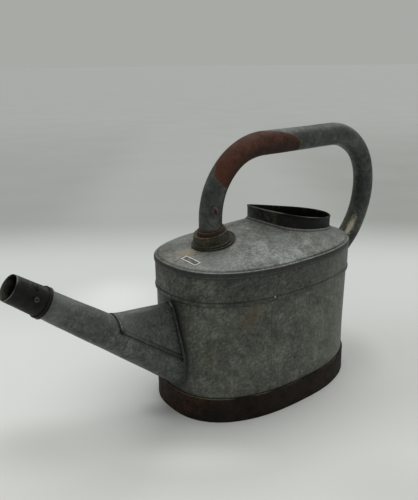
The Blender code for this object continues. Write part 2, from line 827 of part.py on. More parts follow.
def make_label():
    """A blank label laid across the front of the plate."""
    front = LABEL_X - LABEL_WIDTH / 2.0
    rear = LABEL_X + LABEL_WIDTH / 2.0
    top = GAP + LABEL_THICKNESS
    rings = []
    for i in range(LABEL_STEPS + 1):
        y = LABEL_Y + LABEL_LENGTH * (i / LABEL_STEPS - 0.5)
        ring = []
        for x, lift in ((front, GAP), (rear, GAP), (rear, top), (front, top)):
            ring.append((x, y, plate_height(x, y) + lift))
        rings.append(ring)
    lofted("blank_label", rings, "label", wrap=False)


def body_middle():
    """How far the body's middle lies from the middle of the whole can."""
    mouth_radius = socket_radius(0.0)
    front = SPOUT_MOUTH.x - mouth_radius * math.sin(SPOUT_SLOPE)
    rear = max(place[0] for place in REAR_PATH) + HANDLE_RADIUS
    return -(front + rear) / 2.0


def main():
    for old in list(bpy.data.objects):
        bpy.data.objects.remove(old)
    make_body()
    make_plate()
    make_neck()
    make_spout()
    make_gusset()
    make_spout_solder()
    make_handle()
    make_collar()
    make_rivet()
    make_label()
    carrier = bpy.data.objects.new("body_middle", None)
    bpy.context.scene.collection.objects.link(carrier)
    for made in list(bpy.context.scene.collection.objects):
        if made is not carrier:
            made.parent = carrier
    carrier.location.x = body_middle()


main()
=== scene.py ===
"""The looks of a weathered galvanised watering can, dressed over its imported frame.

Metres, +Z up, the spout along -X. Shapes are worked out round the middle of the body and moved
to their place in the frame when their mesh is made. Every sheet is a closed shell with its real
thickness, and follows the same dents as the sheets it is soldered to.
"""

import math

import bmesh
import bpy
import numpy as np
from mathutils import Matrix, Vector


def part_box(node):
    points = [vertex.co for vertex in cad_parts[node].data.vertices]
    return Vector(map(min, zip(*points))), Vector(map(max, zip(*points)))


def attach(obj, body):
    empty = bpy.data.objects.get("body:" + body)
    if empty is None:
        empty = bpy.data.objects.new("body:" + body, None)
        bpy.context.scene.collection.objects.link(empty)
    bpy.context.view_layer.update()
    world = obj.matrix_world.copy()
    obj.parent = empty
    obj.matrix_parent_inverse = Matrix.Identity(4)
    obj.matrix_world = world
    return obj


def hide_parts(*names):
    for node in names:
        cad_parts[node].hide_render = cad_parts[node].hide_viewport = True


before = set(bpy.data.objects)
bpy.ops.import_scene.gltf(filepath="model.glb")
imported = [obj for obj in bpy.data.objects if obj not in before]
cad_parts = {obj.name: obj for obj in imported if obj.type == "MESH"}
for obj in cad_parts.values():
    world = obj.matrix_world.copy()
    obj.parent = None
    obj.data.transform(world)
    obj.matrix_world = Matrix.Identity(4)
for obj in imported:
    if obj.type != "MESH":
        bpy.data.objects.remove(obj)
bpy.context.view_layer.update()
PLATE_LOW, PLATE_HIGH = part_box("top_plate")
MIDDLE_X = (PLATE_LOW.x + PLATE_HIGH.x) / 2.0

# Sheet, clearance and fineness
SHEET = 0.001
GAP = 0.0003
THIN_GAP = GAP * 0.3
OVAL_STEPS = 288
TUBE_STEPS = 64
SEARCH_ROUNDS = 40

# Body
OVAL_POWER = 2.42
BODY_LENGTH = 0.3224
BODY_WIDTH = 0.2100
BODY_HEIGHT = 0.2200
BAND_BOTTOM = 0.1744
BAND_LAP = 0.0120
BEAD_HEIGHT = 0.0050
BEAD_DEPTH = 0.0010
WALL_FOOT = 0.0020
HOOP_HEIGHT = 0.0364
HOOP_THICKNESS = 0.0024
PAN_HEIGHT = 0.0120
PAN_FLANGE = 0.0080
LAP_SEAM_X = -0.0550
LAP_SEAM_WIDTH = 0.0090
LAP_SEAM_LEAN = -0.00175

# Top plate and filler neck
PLATE_CROWN = 0.0434
PLATE_SHOULDER = 0.0020
RIM_DROP = 0.0060
NECK_FRONT = -0.0022
NECK_LENGTH = 0.1456
NECK_WIDTH = 0.1087
NECK_WIDEST = 0.0721
NECK_FRONT_POWER = 2.00
NECK_REAR_POWER = 2.08
NECK_FRONT_RISE = 0.0571
NECK_TOP_SLOPE = 0.1905
NECK_SIDE_DROOP = 0.0037
NECK_BELOW = 0.0030
NECK_ROLL = 0.0008
NECK_EDGE_DEPTH = 0.0040
LEDGE_WIDTH = 0.0022
LEDGE_HEIGHT = 0.0020
PEAK_BEHIND_NECK_FRONT = 0.0334
PEAK_X = NECK_FRONT + PEAK_BEHIND_NECK_FRONT

# Spout and gusset
SPOUT_SLOPE = math.radians(37.0)
SPOUT_LENGTH = 0.2735
SPOUT_ROOT_HEIGHT = 0.0785
SPOUT_ROOT_RADIUS = 0.0280
SPOUT_TIP_RADIUS = 0.0155
SOCKET_LENGTH = 0.0475
SOCKET_OVERLAP = 0.0350
SOCKET_RING_WIDTH = 0.0022
SOCKET_RING_DEPTH = 0.0010
SIDE_STUD = (0.0288, math.radians(7.0), 0.0029, 0.0018)
TOP_STUD = (0.0263, math.radians(50.0), 0.0022, 0.0009)
GUSSET_FRONT = 0.1448
GUSSET_FRONT_SWEEP = 0.0107
GUSSET_TOP = 0.1666
GUSSET_RIDGE_RADIUS = 0.0085
GUSSET_EDGE_TURN = math.radians(20.0)
SEAM_WIDTH = 0.0027
SEAM_DEPTH = 0.0010
SOLDER_WIDTH = 0.0026

# Handle, collar, eyelet and label
LEG_X = -0.0870
HANDLE_RADIUS = 0.0165
BEND_START_HEIGHT = 0.2721
FRONT_BEND = 0.0990
TOP_RISE = math.radians(0.6)
TOP_LENGTH = 0.1493
REAR_BEND = 0.0914
JOINT_TURN = math.radians(73.0)
FOOT_BEND = 0.1227
FOOT_TURN = math.radians(50.0)
COLLAR_X = -0.0823
FLANGE_RADIUS = 0.0323
FLANGE_THICKNESS = 0.0026
CUP_FOOT_RADIUS = 0.0276
CUP_TOP_RADIUS = 0.0240
CUP_HEIGHT = 0.0170
CUP_WALL = 0.0015
CUP_AHEAD = 0.0022
RING_RADIUS = 0.0198
RING_HEIGHT = 0.0050
RIVET_HEIGHT = 0.2865
RIVET_TURN = math.radians(15.0)
RIVET_LEAN = math.radians(22.0)
RIVET_LENGTH = 0.0160
RIVET_WIDTH = 0.0114
RIVET_SLOT_LENGTH = 0.0080
RIVET_SLOT_WIDTH = 0.0034
RIVET_THICKNESS = 0.0012
LABEL_X = -0.1370
LABEL_Y = -0.0195
LABEL_LENGTH = 0.0330
LABEL_WIDTH = 0.0095
LABEL_THICKNESS = 0.0005

# Soft dents: how far each sheet is pushed in on average, and at most twice that
HOOP_PITTING = 0.00012
SPOUT_DENT = 0.0002
SOCKET_DENT = 0.00015
GUSSET_DENT = 0.0005
HANDLE_DENT = 0.00018

# Ovals that follow from those sizes, as outsets from the band's outside
BAND_INSIDE = -SHEET
WALL_OUTSIDE = BAND_INSIDE - GAP
WALL_INSIDE = WALL_OUTSIDE - SHEET
PAN_OUTSIDE = WALL_INSIDE - GAP
HOOP_INSIDE = WALL_OUTSIDE + GAP
HOOP_OUTSIDE = HOOP_INSIDE + HOOP_THICKNESS
RIM_INSIDE = GAP
RIM_OUTSIDE = RIM_INSIDE + SHEET
BORE_RADIUS = HANDLE_RADIUS + GAP

# Camera and stage
CAMERA_PLACE = Vector((-0.58307 + MIDDLE_X, -0.62053, 0.47987))
CAMERA_AZIMUTH = math.radians(-38.4667)
CAMERA_ELEVATION = math.radians(17.6227)
CAMERA_ROLL = math.radians(-0.4984)
CAMERA_LENS = 42.188
CAMERA_SENSOR = 36.0
FLOOR_SIZE = 240.0
SUN_STRENGTH = 1.85
SUN_SOFTNESS = math.radians(70.0)
SUN_TOWARDS = Vector((0.42, 0.16, 1.0)).normalized()
AMBIENT = 0.42
AMBIENT_TINT = (0.985, 1.0, 1.0, 1.0)
FLOOR_NEAR = 0.6


# Numbers and small helpers

def colour(red, green, blue):
    """A display colour, 0 to 255, as linear light."""
    made = []
    for value in (red, green, blue):
        share = value / 255.0
        made.append(share / 12.92 if share <= 0.04045 else ((share + 0.055) / 1.055) ** 2.4)
    return (*made, 1.0)


def eased(value, low, high):
    """0 below low, 1 above high, and a smooth step between."""
    share = np.clip((value - low) / (high - low), 0.0, 1.0)
    return share * share * (3.0 - 2.0 * share)


def ripple(points, size, seed, waves=28):
    """A smooth random height of about -1 to 1 over points, with bumps of about that size."""
    chance = np.random.default_rng(seed)
    points = np.asarray(points, float)
    total = np.zeros(points.shape[:-1])
    for _ in range(waves):
        heading = chance.normal(size=3)
        heading /= np.linalg.norm(heading)
        pace = 2.0 * math.pi / (2.0 * size * chance.uniform(0.7, 1.6))
        total += np.sin(points @ heading * pace + chance.uniform(0.0, 2.0 * math.pi))
    return total / math.sqrt(waves)


def solve(test, low, high):
    """Per item, the largest value that passes a test which holds at low and fails at high."""
    low = np.array(low, float)
    high = np.array(high, float)
    for _ in range(SEARCH_ROUNDS):
        middle = (low + high) / 2.0
        passed = test(middle)
        low = np.where(passed, middle, low)
        high = np.where(passed, high, middle)
    return low


def near_spots(points, spots):
    """Soft spots, each (x, y, z, radius, strength), summed over points."""
    total = np.zeros(points.shape[:-1])
    for x, y, z, radius, strength in spots:
        away = np.linalg.norm(points - np.array((x, y, z)), axis=-1)
        total += strength * np.exp(-((away / radius) ** 2))
    return total


def hump(value, middle, reach):
    """1 where value is middle, falling away over about that reach to both sides."""
    return np.exp(-(((value - middle) / reach) ** 2))


def fading(value, start, reach):
    """1 up to start, dying away over about that reach beyond it."""
    return np.exp(-np.clip(value - start, 0.0, 1.0) / reach)


def around_ring(turns, size, seed, share):
    """A width that varies by that share round a ring of turns."""
    lumps = ripple(np.column_stack([np.cos(turns), np.sin(turns), 0.0 * turns]), size, seed)
    return 1.0 - share + share * np.clip(lumps, -1.0, 1.0)


def patches(points, size, seed, middle, swing, low):
    """Smooth patches over points, from low to 1."""
    return np.clip(middle + swing * ripple(points, size, seed), low, 1.0)


def swell(points, size, seed):
    """Smooth bumps from 0 to 2 over points, for dents that only go inwards."""
    return 1.0 + np.clip(ripple(points, size, seed), -1.0, 1.0)


def away_from(points, line):
    """How far each point is from the nearest of a line's points."""
    return np.min(np.linalg.norm(points[:, None, :] - line[None, :, :], axis=2), axis=1)


# The body's oval

def oval_halves(outset):
    return BODY_LENGTH / 2.0 + outset, BODY_WIDTH / 2.0 + outset


def oval_at(angles, outset):
    half_length, half_width = oval_halves(outset)
    along = np.cos(angles)
    across = np.sin(angles)
    share = 2.0 / OVAL_POWER
    x = np.sign(along) * np.abs(along) ** share * half_length
    y = np.sign(across) * np.abs(across) ** share * half_width
    return np.stack([x, y], axis=-1)


def even_angles():
    """Angles that space points evenly along the oval's edge."""
    dense = np.linspace(0.0, 2.0 * math.pi, 40001)
    edge = oval_at(dense, 0.0)
    run = np.concatenate([[0.0], np.cumsum(np.linalg.norm(np.diff(edge, axis=0), axis=1))])
    return np.interp(np.arange(OVAL_STEPS) / OVAL_STEPS * run[-1], run, dense)


OVAL_ANGLES = even_angles()


def in_oval(x, y, outset):
    half_length, half_width = oval_halves(outset)
    return np.abs(x / half_length) ** OVAL_POWER + np.abs(y / half_width) ** OVAL_POWER < 1.0


def outward(points):
    """Level unit vectors square to the oval, at points on or near it."""
    x = points[..., 0]
    y = points[..., 1]
    half_length, half_width = oval_halves(0.0)
    normal_x = np.sign(x) * np.abs(x / half_length) ** (OVAL_POWER - 1.0) / half_length
    normal_y = np.sign(y) * np.abs(y / half_width) ** (OVAL_POWER - 1.0) / half_width
    size = np.hypot(normal_x, normal_y)
    return np.stack([normal_x / size, normal_y / size, np.zeros_like(size)], axis=-1)


WALL_DENT = 0.0007
WALL_DENT_SIZE = 0.055
JOINT_SPOTS = ((-0.160, 0.0, 0.105, 0.070, 1.0), (0.160, 0.0, 0.150, 0.045, 1.0))
DENT_SPOTS = (
    (0.120, -0.080, 0.085, 0.030, 0.9),
    (0.035, -0.105, 0.110, 0.040, 0.7),
    (-0.120, 0.080, 0.120, 0.035, 0.8),
    (0.060, 0.104, 0.070, 0.030, 0.9),
    (0.150, 0.045, 0.130, 0.022, 0.7),
)


def wall_dents(points):
    """How far the body's sheets are pushed in, in metres, at points on the oval."""
    soft = 0.5 * swell(points, WALL_DENT_SIZE, 3)
    kept_true = np.clip(near_spots(points, JOINT_SPOTS), 0.0, 1.0)
    return WALL_DENT * (soft + near_spots(points, DENT_SPOTS)) * (1.0 - kept_true)


def oval_rings(profile):
    """Dented rings round the oval, for a profile of (outset, height) pairs."""
    rings = []
    for outset, height in profile:
        level = np.full(OVAL_STEPS, height)
        edge = np.column_stack([oval_at(OVAL_ANGLES, outset), level])
        true_edge = np.column_stack([oval_at(OVAL_ANGLES, 0.0), level])
        rings.append(edge - outward(true_edge) * wall_dents(true_edge)[:, None])
    return np.array(rings)


def arc(centre, radius, start, end, steps):
    """Profile points along part of a circle, angles in degrees."""
    made = []
    for i in range(steps + 1):
        angle = math.radians(start + (end - start) * i / steps)
        made.append((centre[0] + radius * math.cos(angle), centre[1] + radius * math.sin(angle)))
    return made


def line(start, end, steps):
    """Profile points along a straight line, both ends included."""
    start = np.array(start)
    end = np.array(end)
    return [tuple(start + (end - start) * i / steps) for i in range(steps + 1)]


# Making pieces

def mesh_of(name, rings, wrap=True, painted=None, smooth=50.0):
    """A closed body through rings of points, wrapped into a loop or capped at both ends."""
    rings = np.asarray(rings, float)
    count, size, _ = rings.shape
    points = rings.reshape(-1, 3) + np.array((MIDDLE_X, 0.0, 0.0))
    grid = np.arange(count * size).reshape(count, size)
    lower = grid if wrap else grid[:-1]
    upper = np.roll(grid, -1, axis=0) if wrap else grid[1:]
    faces = np.stack([lower, np.roll(lower, -1, axis=1), np.roll(upper, -1, axis=1), upper], axis=-1)
    faces = faces.reshape(-1, 4).tolist()
    if not wrap:
        faces.append(grid[0].tolist())
        faces.append(grid[-1].tolist())
    mesh = bpy.data.meshes.new(name)
    mesh.from_pydata(points.tolist(), [], faces)
    shape = bmesh.new()
    shape.from_mesh(mesh)
    bmesh.ops.recalc_face_normals(shape, faces=shape.faces)
    shape.to_mesh(mesh)
    shape.free()
    mesh.shade_smooth()
    mesh.set_sharp_from_angle(angle=math.radians(smooth))
    for key, values in (painted or {}).items():
        paint(mesh, key, values)
    return mesh


def paint(mesh, key, values):
    """Stores a value for each vertex, which the materials read by its name."""
    layer = mesh.attributes.new(key, "FLOAT", "POINT")
    layer.data.foreach_set("value", np.asarray(values, np.float32).ravel())


def body_points(mesh):
    """A mesh's points, round the middle of the body."""
    points = np.zeros(len(mesh.vertices) * 3, np.float32)
    mesh.vertices.foreach_get("co", points)
    return points.reshape(-1, 3).astype(float) - np.array((MIDDLE_X, 0.0, 0.0))


def placed(name, data):
    made = bpy.data.objects.new(name, data)
    bpy.context.scene.collection.objects.link(made)
    return made


def piece(name, mesh, look, slot, *nodes):
    """One piece of the can, which rides on its frame and stands for these nodes."""
    made = placed(name, mesh)
    mesh.materials.append(look)
    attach(made, "root")
    if nodes:
        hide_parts(*nodes)


def shell(name, rings, painted, look, slot, *nodes, wrap=True, smooth=50.0):
    """A piece made of one closed body through rings of points."""
    piece(name, mesh_of(name, rings, wrap, painted, smooth), look, slot, *nodes)


# Materials

STREAK_LENGTH = 2.6
STREAK_AHEAD = Vector((0.54, -0.54, 0.64)).normalized()
STREAK_LEVEL = Vector((1.0, 1.0, 0.0)).normalized()
STREAK_TURN = Matrix((STREAK_AHEAD, STREAK_LEVEL, STREAK_AHEAD.cross(STREAK_LEVEL))).transposed()


def feed(tree, socket, value):
    """Sets a socket to a value, or links it to another socket."""
    if isinstance(value, bpy.types.NodeSocket):
        tree.links.new(value, socket)
    else:
        socket.default_value = value


def add_node(tree, kind, fed=(), **settings):
    """A shader node with these settings; fed gives its inputs in order, or by name."""
    made = tree.nodes.new("ShaderNode" + kind)
    for key, value in settings.items():
        setattr(made, key, value)
    for key, value in fed.items() if isinstance(fed, dict) else enumerate(fed):
        feed(tree, made.inputs[key], value)
    return made


class Finish:
    """A material built one call at a time; each call returns the socket it makes."""

    def __init__(self, name, metallic, specular=0.5):
        self.material = bpy.data.materials.new(name)
        self.material.use_nodes = True
        self.tree = self.material.node_tree
        self.shade("Metallic", metallic)
        self.shade("Specular IOR Level", specular)
        self.place = self.node("TexCoord").outputs["Object"]

    def node(self, kind, fed=(), **settings):
        return add_node(self.tree, kind, fed, **settings)

    def shade(self, name, value):
        feed(self.tree, self.tree.nodes["Principled BSDF"].inputs[name], value)

    def noise(self, size, detail=4.0, rough=0.55, twist=0.0, place=None):
        """Noise from 0 to 1, with features of about that size in metres."""
        fed = {"Vector": place or self.place, "Scale": 1.0 / size, "Detail": detail}
        fed.update({"Roughness": rough, "Distortion": twist})
        return self.node("TexNoise", fed).outputs[0]

    def stretched(self, stretch):
        return self.node("Mapping", {"Vector": self.place, "Scale": stretch}).outputs[0]

    def streaks(self, size):
        """Noise drawn out along a slant that rises towards the right of the near side."""
        fed = {"Vector": self.place, "Rotation": STREAK_TURN.to_euler(), "Scale": (STREAK_LENGTH, 1.0, 1.0)}
        mapping = self.node("Mapping", fed, vector_type="TEXTURE")
        return self.noise(size, 3.0, 0.6, place=mapping.outputs[0])

    def cells(self, size):
        """A random value for each cell of about that size."""
        cell = self.node("TexVoronoi", {"Vector": self.place, "Scale": 1.0 / size})
        return self.node("SeparateColor", (cell.outputs["Color"],)).outputs[0]

    def painted(self, key):
        """The value that the mesh stores under a name, or 0."""
        return self.node("Attribute", attribute_name=key).outputs["Fac"]

    def sum_of(self, *parts):
        """Sockets times weights, added up."""
        total = 0.0
        for socket, weight in parts:
            total = self.node("Math", (socket, weight, total), operation="MULTIPLY_ADD").outputs[0]
        return total

    def most(self, first, second):
        return self.node("Math", (first, second), operation="MAXIMUM").outputs[0]

    def times(self, first, second):
        return self.node("Math", (first, second), operation="MULTIPLY").outputs[0]

    def step(self, value, low, high, start=0.0, end=1.0):
        """A smooth step from start, at low, to end, at high."""
        fed = (value, low, high, start, end)
        return self.node("MapRange", fed, interpolation_type="SMOOTHSTEP").outputs[0]

    def mix(self, share, first, second):
        return self.node("Mix", {0: share, 6: first, 7: second}, data_type="RGBA").outputs[2]

    def layer(self, base, over, key, low, high, strength, *parts):
        """The base under a colour, laid on where the mesh's paint and the noises ask for it."""
        amount = self.sum_of((self.painted(key), 1.0), *parts)
        return self.mix(self.step(amount, low, high, 0.0, strength), base, over)

    def close(self, base, roughness, height, depth):
        """Links the colour, the roughness and a bump of that depth, and returns the material."""
        bump = self.node("Bump", {"Strength": 1.0, "Distance": depth, "Height": height})
        self.shade("Base Color", base)
        self.shade("Roughness", roughness)
        self.shade("Normal", bump.outputs[0])
        return self.material


BROWN_STAIN = colour(86, 78, 50)
SOOT_AND_SHADE_COLOUR = colour(26, 26, 23)
BARE_METAL_AND_HIGHLIGHT = colour(160, 158, 148)
CREAM_SHINE_AND_WEAR = colour(176, 168, 146)
BLOOM = colour(140, 145, 144)
TAN_STAIN = colour(146, 134, 106)
RUST_DARK = colour(42, 27, 19)
RUST_MIDDLE = colour(76, 48, 37)
RUST_LIGHT = colour(108, 74, 52)


def weathered_zinc(name, tones, metallic=0.35, rough=0.55, specular=0.5):
    """Dull zinc with clouds, spangle, flecks and pits; the mesh paints stains, sooty dirt, worn metal,
    painted shade, painted light and painted highlights.
    """
    dark, middle, light = (colour(*tone) for tone in tones)
    look = Finish(name, metallic, specular)
    clouds = look.noise(0.055, 5.0, 0.6)
    blotches = look.noise(0.014, 5.0, 0.65, 0.6)
    flecks = look.noise(0.0034, 3.0, 0.65)
    grain = look.noise(0.0012, 2.0)
    streaks = look.streaks(0.0027)
    spangle = look.cells(0.0060)
    tone = look.sum_of((clouds, 0.24), (blotches, 0.22), (streaks, 0.28), (flecks, 0.22), (spangle, 0.04))
    base = look.mix(look.step(tone, 0.39, 0.51), dark, middle)
    base = look.mix(look.step(tone, 0.49, 0.62), base, light)
    # Painted light: pale lightens the sides, tops and crests that the mesh marks; on the plate it also gives
    # the whiter cores of zinc bloom.
    base = look.mix(look.painted("pale"), base, light)
    stain = ((blotches, 0.9), (clouds, 0.5), (1.0, -0.95))
    base = look.layer(base, BROWN_STAIN, "stain", 0.05, 0.85, 0.62, *stain)
    tan = ((blotches, 1.1), (flecks, 1.0), (1.0, -1.15))
    base = look.layer(base, TAN_STAIN, "tan", 0.10, 0.90, 0.80, *tan)
    bloom = ((blotches, 1.1), (flecks, 2.2), (1.0, -1.90))
    base = look.layer(base, BLOOM, "bloom", 0.05, 0.75, 0.80, *bloom)
    rust = look.sum_of((look.painted("rust"), 1.0), (blotches, 0.8), (flecks, 0.8), (1.0, -1.05))
    base = look.mix(look.step(rust, 0.15, 0.7), base, look.mix(blotches, RUST_DARK, RUST_LIGHT))
    pits = look.step(look.noise(0.0030, 2.0, 0.7), 0.66, 0.74)
    base = look.mix(look.times(pits, 0.55), base, SOOT_AND_SHADE_COLOUR)
    # Darkened where the mesh asks: sooty dirt at joints and below, and painted shade in creases and grooves,
    # under lips and inside hollows.
    base = look.layer(base, SOOT_AND_SHADE_COLOUR, "soot_and_shade", 0.10, 0.95, 0.92, (blotches, 0.5), (1.0, -0.25))
    # Bare metal where the mesh asks: worn edges and marks, and painted highlights on tops, crests and lips.
    base = look.layer(base, BARE_METAL_AND_HIGHLIGHT, "wear_and_highlight", 0.25, 0.9, 1.0, (flecks, 0.8), (1.0, -0.45))
    roughness = look.step(tone, 0.3, 0.7, rough + 0.10, rough - 0.10)
    height = look.sum_of((blotches, 0.55), (flecks, 0.35), (grain, 0.12), (pits, -0.30), (rust, 0.15))
    return look.close(base, roughness, height, 0.0006)


def rusted_iron(name):
    """Dark brown iron rust, worn to a thin pale line along its edges."""
    look = Finish(name, 0.0, 0.18)
    clouds = look.noise(0.045, 5.0, 0.6)
    blotches = look.noise(0.011, 6.0, 0.7, 0.5)
    crust = look.noise(0.0028, 4.0, 0.7)
    streaks = look.noise(0.006, 3.0, 0.6, place=look.stretched((0.25, 0.25, 2.2)))
    tone = look.sum_of((clouds, 0.35), (blotches, 0.35), (crust, 0.15), (streaks, 0.15))
    base = look.mix(look.step(tone, 0.38, 0.62), colour(17, 12, 7), colour(33, 23, 14))
    warm = ((blotches, 1.0), (crust, 0.5), (1.0, -0.95))
    base = look.layer(base, colour(68, 42, 28), "rust", 0.10, 0.85, 0.9, *warm)
    worn = ((crust, 0.9), (streaks, 0.5), (1.0, -0.75))
    base = look.layer(base, colour(108, 94, 76), "wear_and_highlight", 0.25, 0.8, 0.9, *worn)
    height = look.sum_of((blotches, 0.5), (crust, 0.4))
    return look.close(base, look.step(tone, 0.3, 0.7, 0.85, 0.62), height, 0.0009)


def blackened_sheet(name):
    """Sheet gone nearly black, browner in patches, with pale worn edges; the mesh also paints shade inside
    hollows and highlights on lips and tops.
    """
    look = Finish(name, 0.15, 0.20)
    clouds = look.noise(0.030, 5.0, 0.6)
    blotches = look.noise(0.008, 5.0, 0.65, 0.4)
    grain = look.noise(0.0016, 3.0, 0.6)
    tone = look.sum_of((clouds, 0.45), (blotches, 0.40), (grain, 0.15))
    base = look.mix(look.step(tone, 0.38, 0.64), colour(12, 12, 11), colour(29, 28, 26))
    brown = ((clouds, 0.9), (blotches, 0.5), (1.0, -0.8))
    base = look.layer(base, colour(44, 35, 24), "stain", 0.1, 0.8, 0.8, *brown)
    base = look.layer(base, colour(9, 9, 8), "soot_and_shade", 0.1, 0.9, 0.9)
    worn = ((blotches, 0.7), (grain, 0.5), (1.0, -0.6))
    base = look.layer(base, colour(112, 110, 100), "wear_and_highlight", 0.25, 0.9, 0.9, *worn)
    height = look.sum_of((blotches, 0.6), (grain, 0.3))
    return look.close(base, look.step(tone, 0.3, 0.7, 0.68, 0.46), height, 0.0004)


def plain_label(name):
    """A worn blank label: a pale border round a dark field."""
    look = Finish(name, 0.0)
    smudge = look.noise(0.0050, 4.0, 0.65)
    fibre = look.noise(0.0010, 2.0)
    base = look.mix(look.step(smudge, 0.35, 0.7), colour(70, 70, 66), colour(112, 112, 106))
    base = look.layer(base, colour(226, 224, 214), "edge", 0.35, 0.6, 1.0, (smudge, 0.35), (1.0, -0.17))
    roughness = look.step(smudge, 0.3, 0.7, 0.75, 0.6)
    return look.close(base, roughness, look.sum_of((smudge, 0.6), (fibre, 0.4)), 0.0001)


WALL_ZINC = weathered_zinc("wall_zinc", ((54, 56, 49), (80, 82, 75), (114, 116, 106)))
BAND_ZINC = weathered_zinc("band_zinc", ((40, 41, 35), (67, 69, 63), (102, 104, 96)))
PLATE_ZINC = weathered_zinc("plate_zinc", ((72, 73, 68), (104, 106, 100), (134, 137, 131)))
TUBE_ZINC = weathered_zinc("tube_zinc", ((48, 52, 49), (73, 77, 74), (106, 110, 105)))
RUSTED_IRON = rusted_iron("hoop_rust")
BLACK_SHEET = blackened_sheet("black_sheet")
COLLAR_METAL = weathered_zinc("collar_metal", ((34, 33, 26), (54, 52, 42), (86, 82, 68)), 0.2, 0.6, 0.25)
SOLDER = weathered_zinc("dull_solder", ((46, 47, 42), (66, 68, 62), (98, 98, 90)))
EYELET_METAL = weathered_zinc("eyelet_metal", ((48, 40, 36), (76, 63, 57), (112, 96, 88)))
LABEL_PAPER = plain_label("label_paper")


# The top plate's surface

PLATE_DENT = 0.0006
PLATE_DENT_SIZE = 0.040


def plate_height(x, y):
    """Height of the plate's upper face over points, with its dents."""
    x = np.asarray(x, float)
    y = np.asarray(y, float)

    def beyond(share):
        return ~in_oval(PEAK_X + (x - PEAK_X) / share, y / share, RIM_OUTSIDE)

    share = solve(beyond, np.full(x.shape, SHEET), np.full(x.shape, 2.0))
    level = np.stack([x, y, np.zeros_like(x)], axis=-1)
    soft = 0.5 * swell(level, PLATE_DENT_SIZE, 11)
    return BODY_HEIGHT + PLATE_SHOULDER + PLATE_CROWN * (1.0 - share) - PLATE_DENT * soft


def on_plate(edge, lift):
    return np.column_stack([edge, plate_height(edge[:, 0], edge[:, 1]) + lift])


def in_neck(x, y, outset):
    from_widest = x - NECK_FRONT - NECK_WIDEST
    front = from_widest < 0.0
    reach = np.where(front, NECK_WIDEST, NECK_LENGTH - NECK_WIDEST) + outset
    power = np.where(front, NECK_FRONT_POWER, NECK_REAR_POWER)
    half_width = NECK_WIDTH / 2.0 + outset
    return np.abs(from_widest / reach) ** power + np.abs(y / half_width) ** power < 1.0


def neck_edge(outset):
    """The neck's outline, on lines from the plate's peak to its rim."""
    far = oval_at(OVAL_ANGLES, RIM_OUTSIDE)
    away = far - np.array((PEAK_X, 0.0))

    def inside(share):
        return in_neck(PEAK_X + away[:, 0] * share, away[:, 1] * share, outset)

    share = solve(inside, np.zeros(OVAL_STEPS), np.ones(OVAL_STEPS))
    return np.array((PEAK_X, 0.0)) + away * share[:, None]


# Body walls and foot

WALL_STAINS = (
    (-0.0906, -0.0919, 0.1583, 0.019, 0.62),
    (-0.0990, -0.0888, 0.1429, 0.017, 0.48),
    (-0.0799, -0.0952, 0.1676, 0.014, 0.52),
    (-0.1403, -0.0605, 0.1014, 0.019, 0.58),
    (-0.1221, -0.0765, 0.1247, 0.022, 0.38),
    (-0.1331, -0.0678, 0.0669, 0.022, 0.38),
    (-0.100, -0.090, 0.070, 0.034, 0.20),
    (0.040, 0.104, 0.100, 0.050, 0.45),
    (-0.090, 0.094, 0.070, 0.040, 0.35),
    (0.150, 0.050, 0.070, 0.035, 0.40),
)
WALL_DOTS = ((-0.1512, -0.0441, 0.1840), (-0.0163, -0.1035, 0.1036), (-0.0268, -0.1031, 0.1401))


def wall_paint(points):
    """Stains, sooty dirt, solder dots, painted shade and painted light on the body's walls."""
    joint = away_from(points, SPOUT_JOINT)
    under_band = fading(-points[:, 2], -BAND_BOTTOM, 0.0016)
    over_hoop = fading(points[:, 2], HOOP_HEIGHT, 0.0016)
    # Darker round the spout's joint; painted shade in a line just under the band's lower edge and in the gap
    # at the hoop's top.
    soot_and_shade = 0.85 * np.exp(-joint / 0.0065) + 0.5 * np.exp(-joint / 0.022)
    soot_and_shade += 0.8 * under_band * (points[:, 2] < BAND_BOTTOM) + 0.8 * over_hoop
    low = fading(points[:, 2], HOOP_HEIGHT, 0.010)
    # Painted light: pale grows towards the rear end, making that side of the wall lighter.
    return {
        "stain": near_spots(points, WALL_STAINS) + 0.25 * low,
        "soot_and_shade": soot_and_shade,
        "wear_and_highlight": near_spots(points, [(*dot, 0.0018, 1.1) for dot in WALL_DOTS]),
        "pale": 0.30 * eased(points[:, 0], -0.03, 0.13),
    }


def spout_hole_cutter():
    """A cone along the spout's bore, through the wall."""
    reach = SPOUT_LENGTH / 2.0
    turns = circle(TUBE_STEPS)
    rings = []
    for along in (SPOUT_LENGTH - reach, SPOUT_LENGTH + reach):
        rings.append(round_spout(along, turns, spout_radius(along) - SHEET))
    return placed("spout_hole_cutter", mesh_of("spout_hole_cutter", rings, wrap=False))


def with_hole(mesh, cutter):
    """The mesh with the cutter's shape taken out of it; the cutter is removed."""
    carrier = placed("cut_carrier", mesh)
    cut = carrier.modifiers.new("cut", "BOOLEAN")
    cut.operation = "DIFFERENCE"
    cut.object = cutter
    bpy.context.view_layer.update()
    ready = carrier.evaluated_get(bpy.context.evaluated_depsgraph_get())
    made = bpy.data.meshes.new_from_object(ready)
    bpy.data.objects.remove(carrier)
    bpy.data.objects.remove(cutter)
    made.shade_smooth()
    made.set_sharp_from_angle(angle=math.radians(50.0))
    return made


def make_wall():
    top = BAND_BOTTOM + BAND_LAP
    profile = line((WALL_OUTSIDE, WALL_FOOT), (WALL_OUTSIDE, top), 60)
    profile += line((WALL_INSIDE, top), (WALL_INSIDE, WALL_FOOT), 20)
    mesh = with_hole(mesh_of("lower_wall_sheet", oval_rings(profile)), spout_hole_cutter())
    for key, values in wall_paint(body_points(mesh)).items():
        paint(mesh, key, values)
    piece("lower_wall_sheet", mesh, WALL_ZINC, "galvanised_wall", "lower_wall")


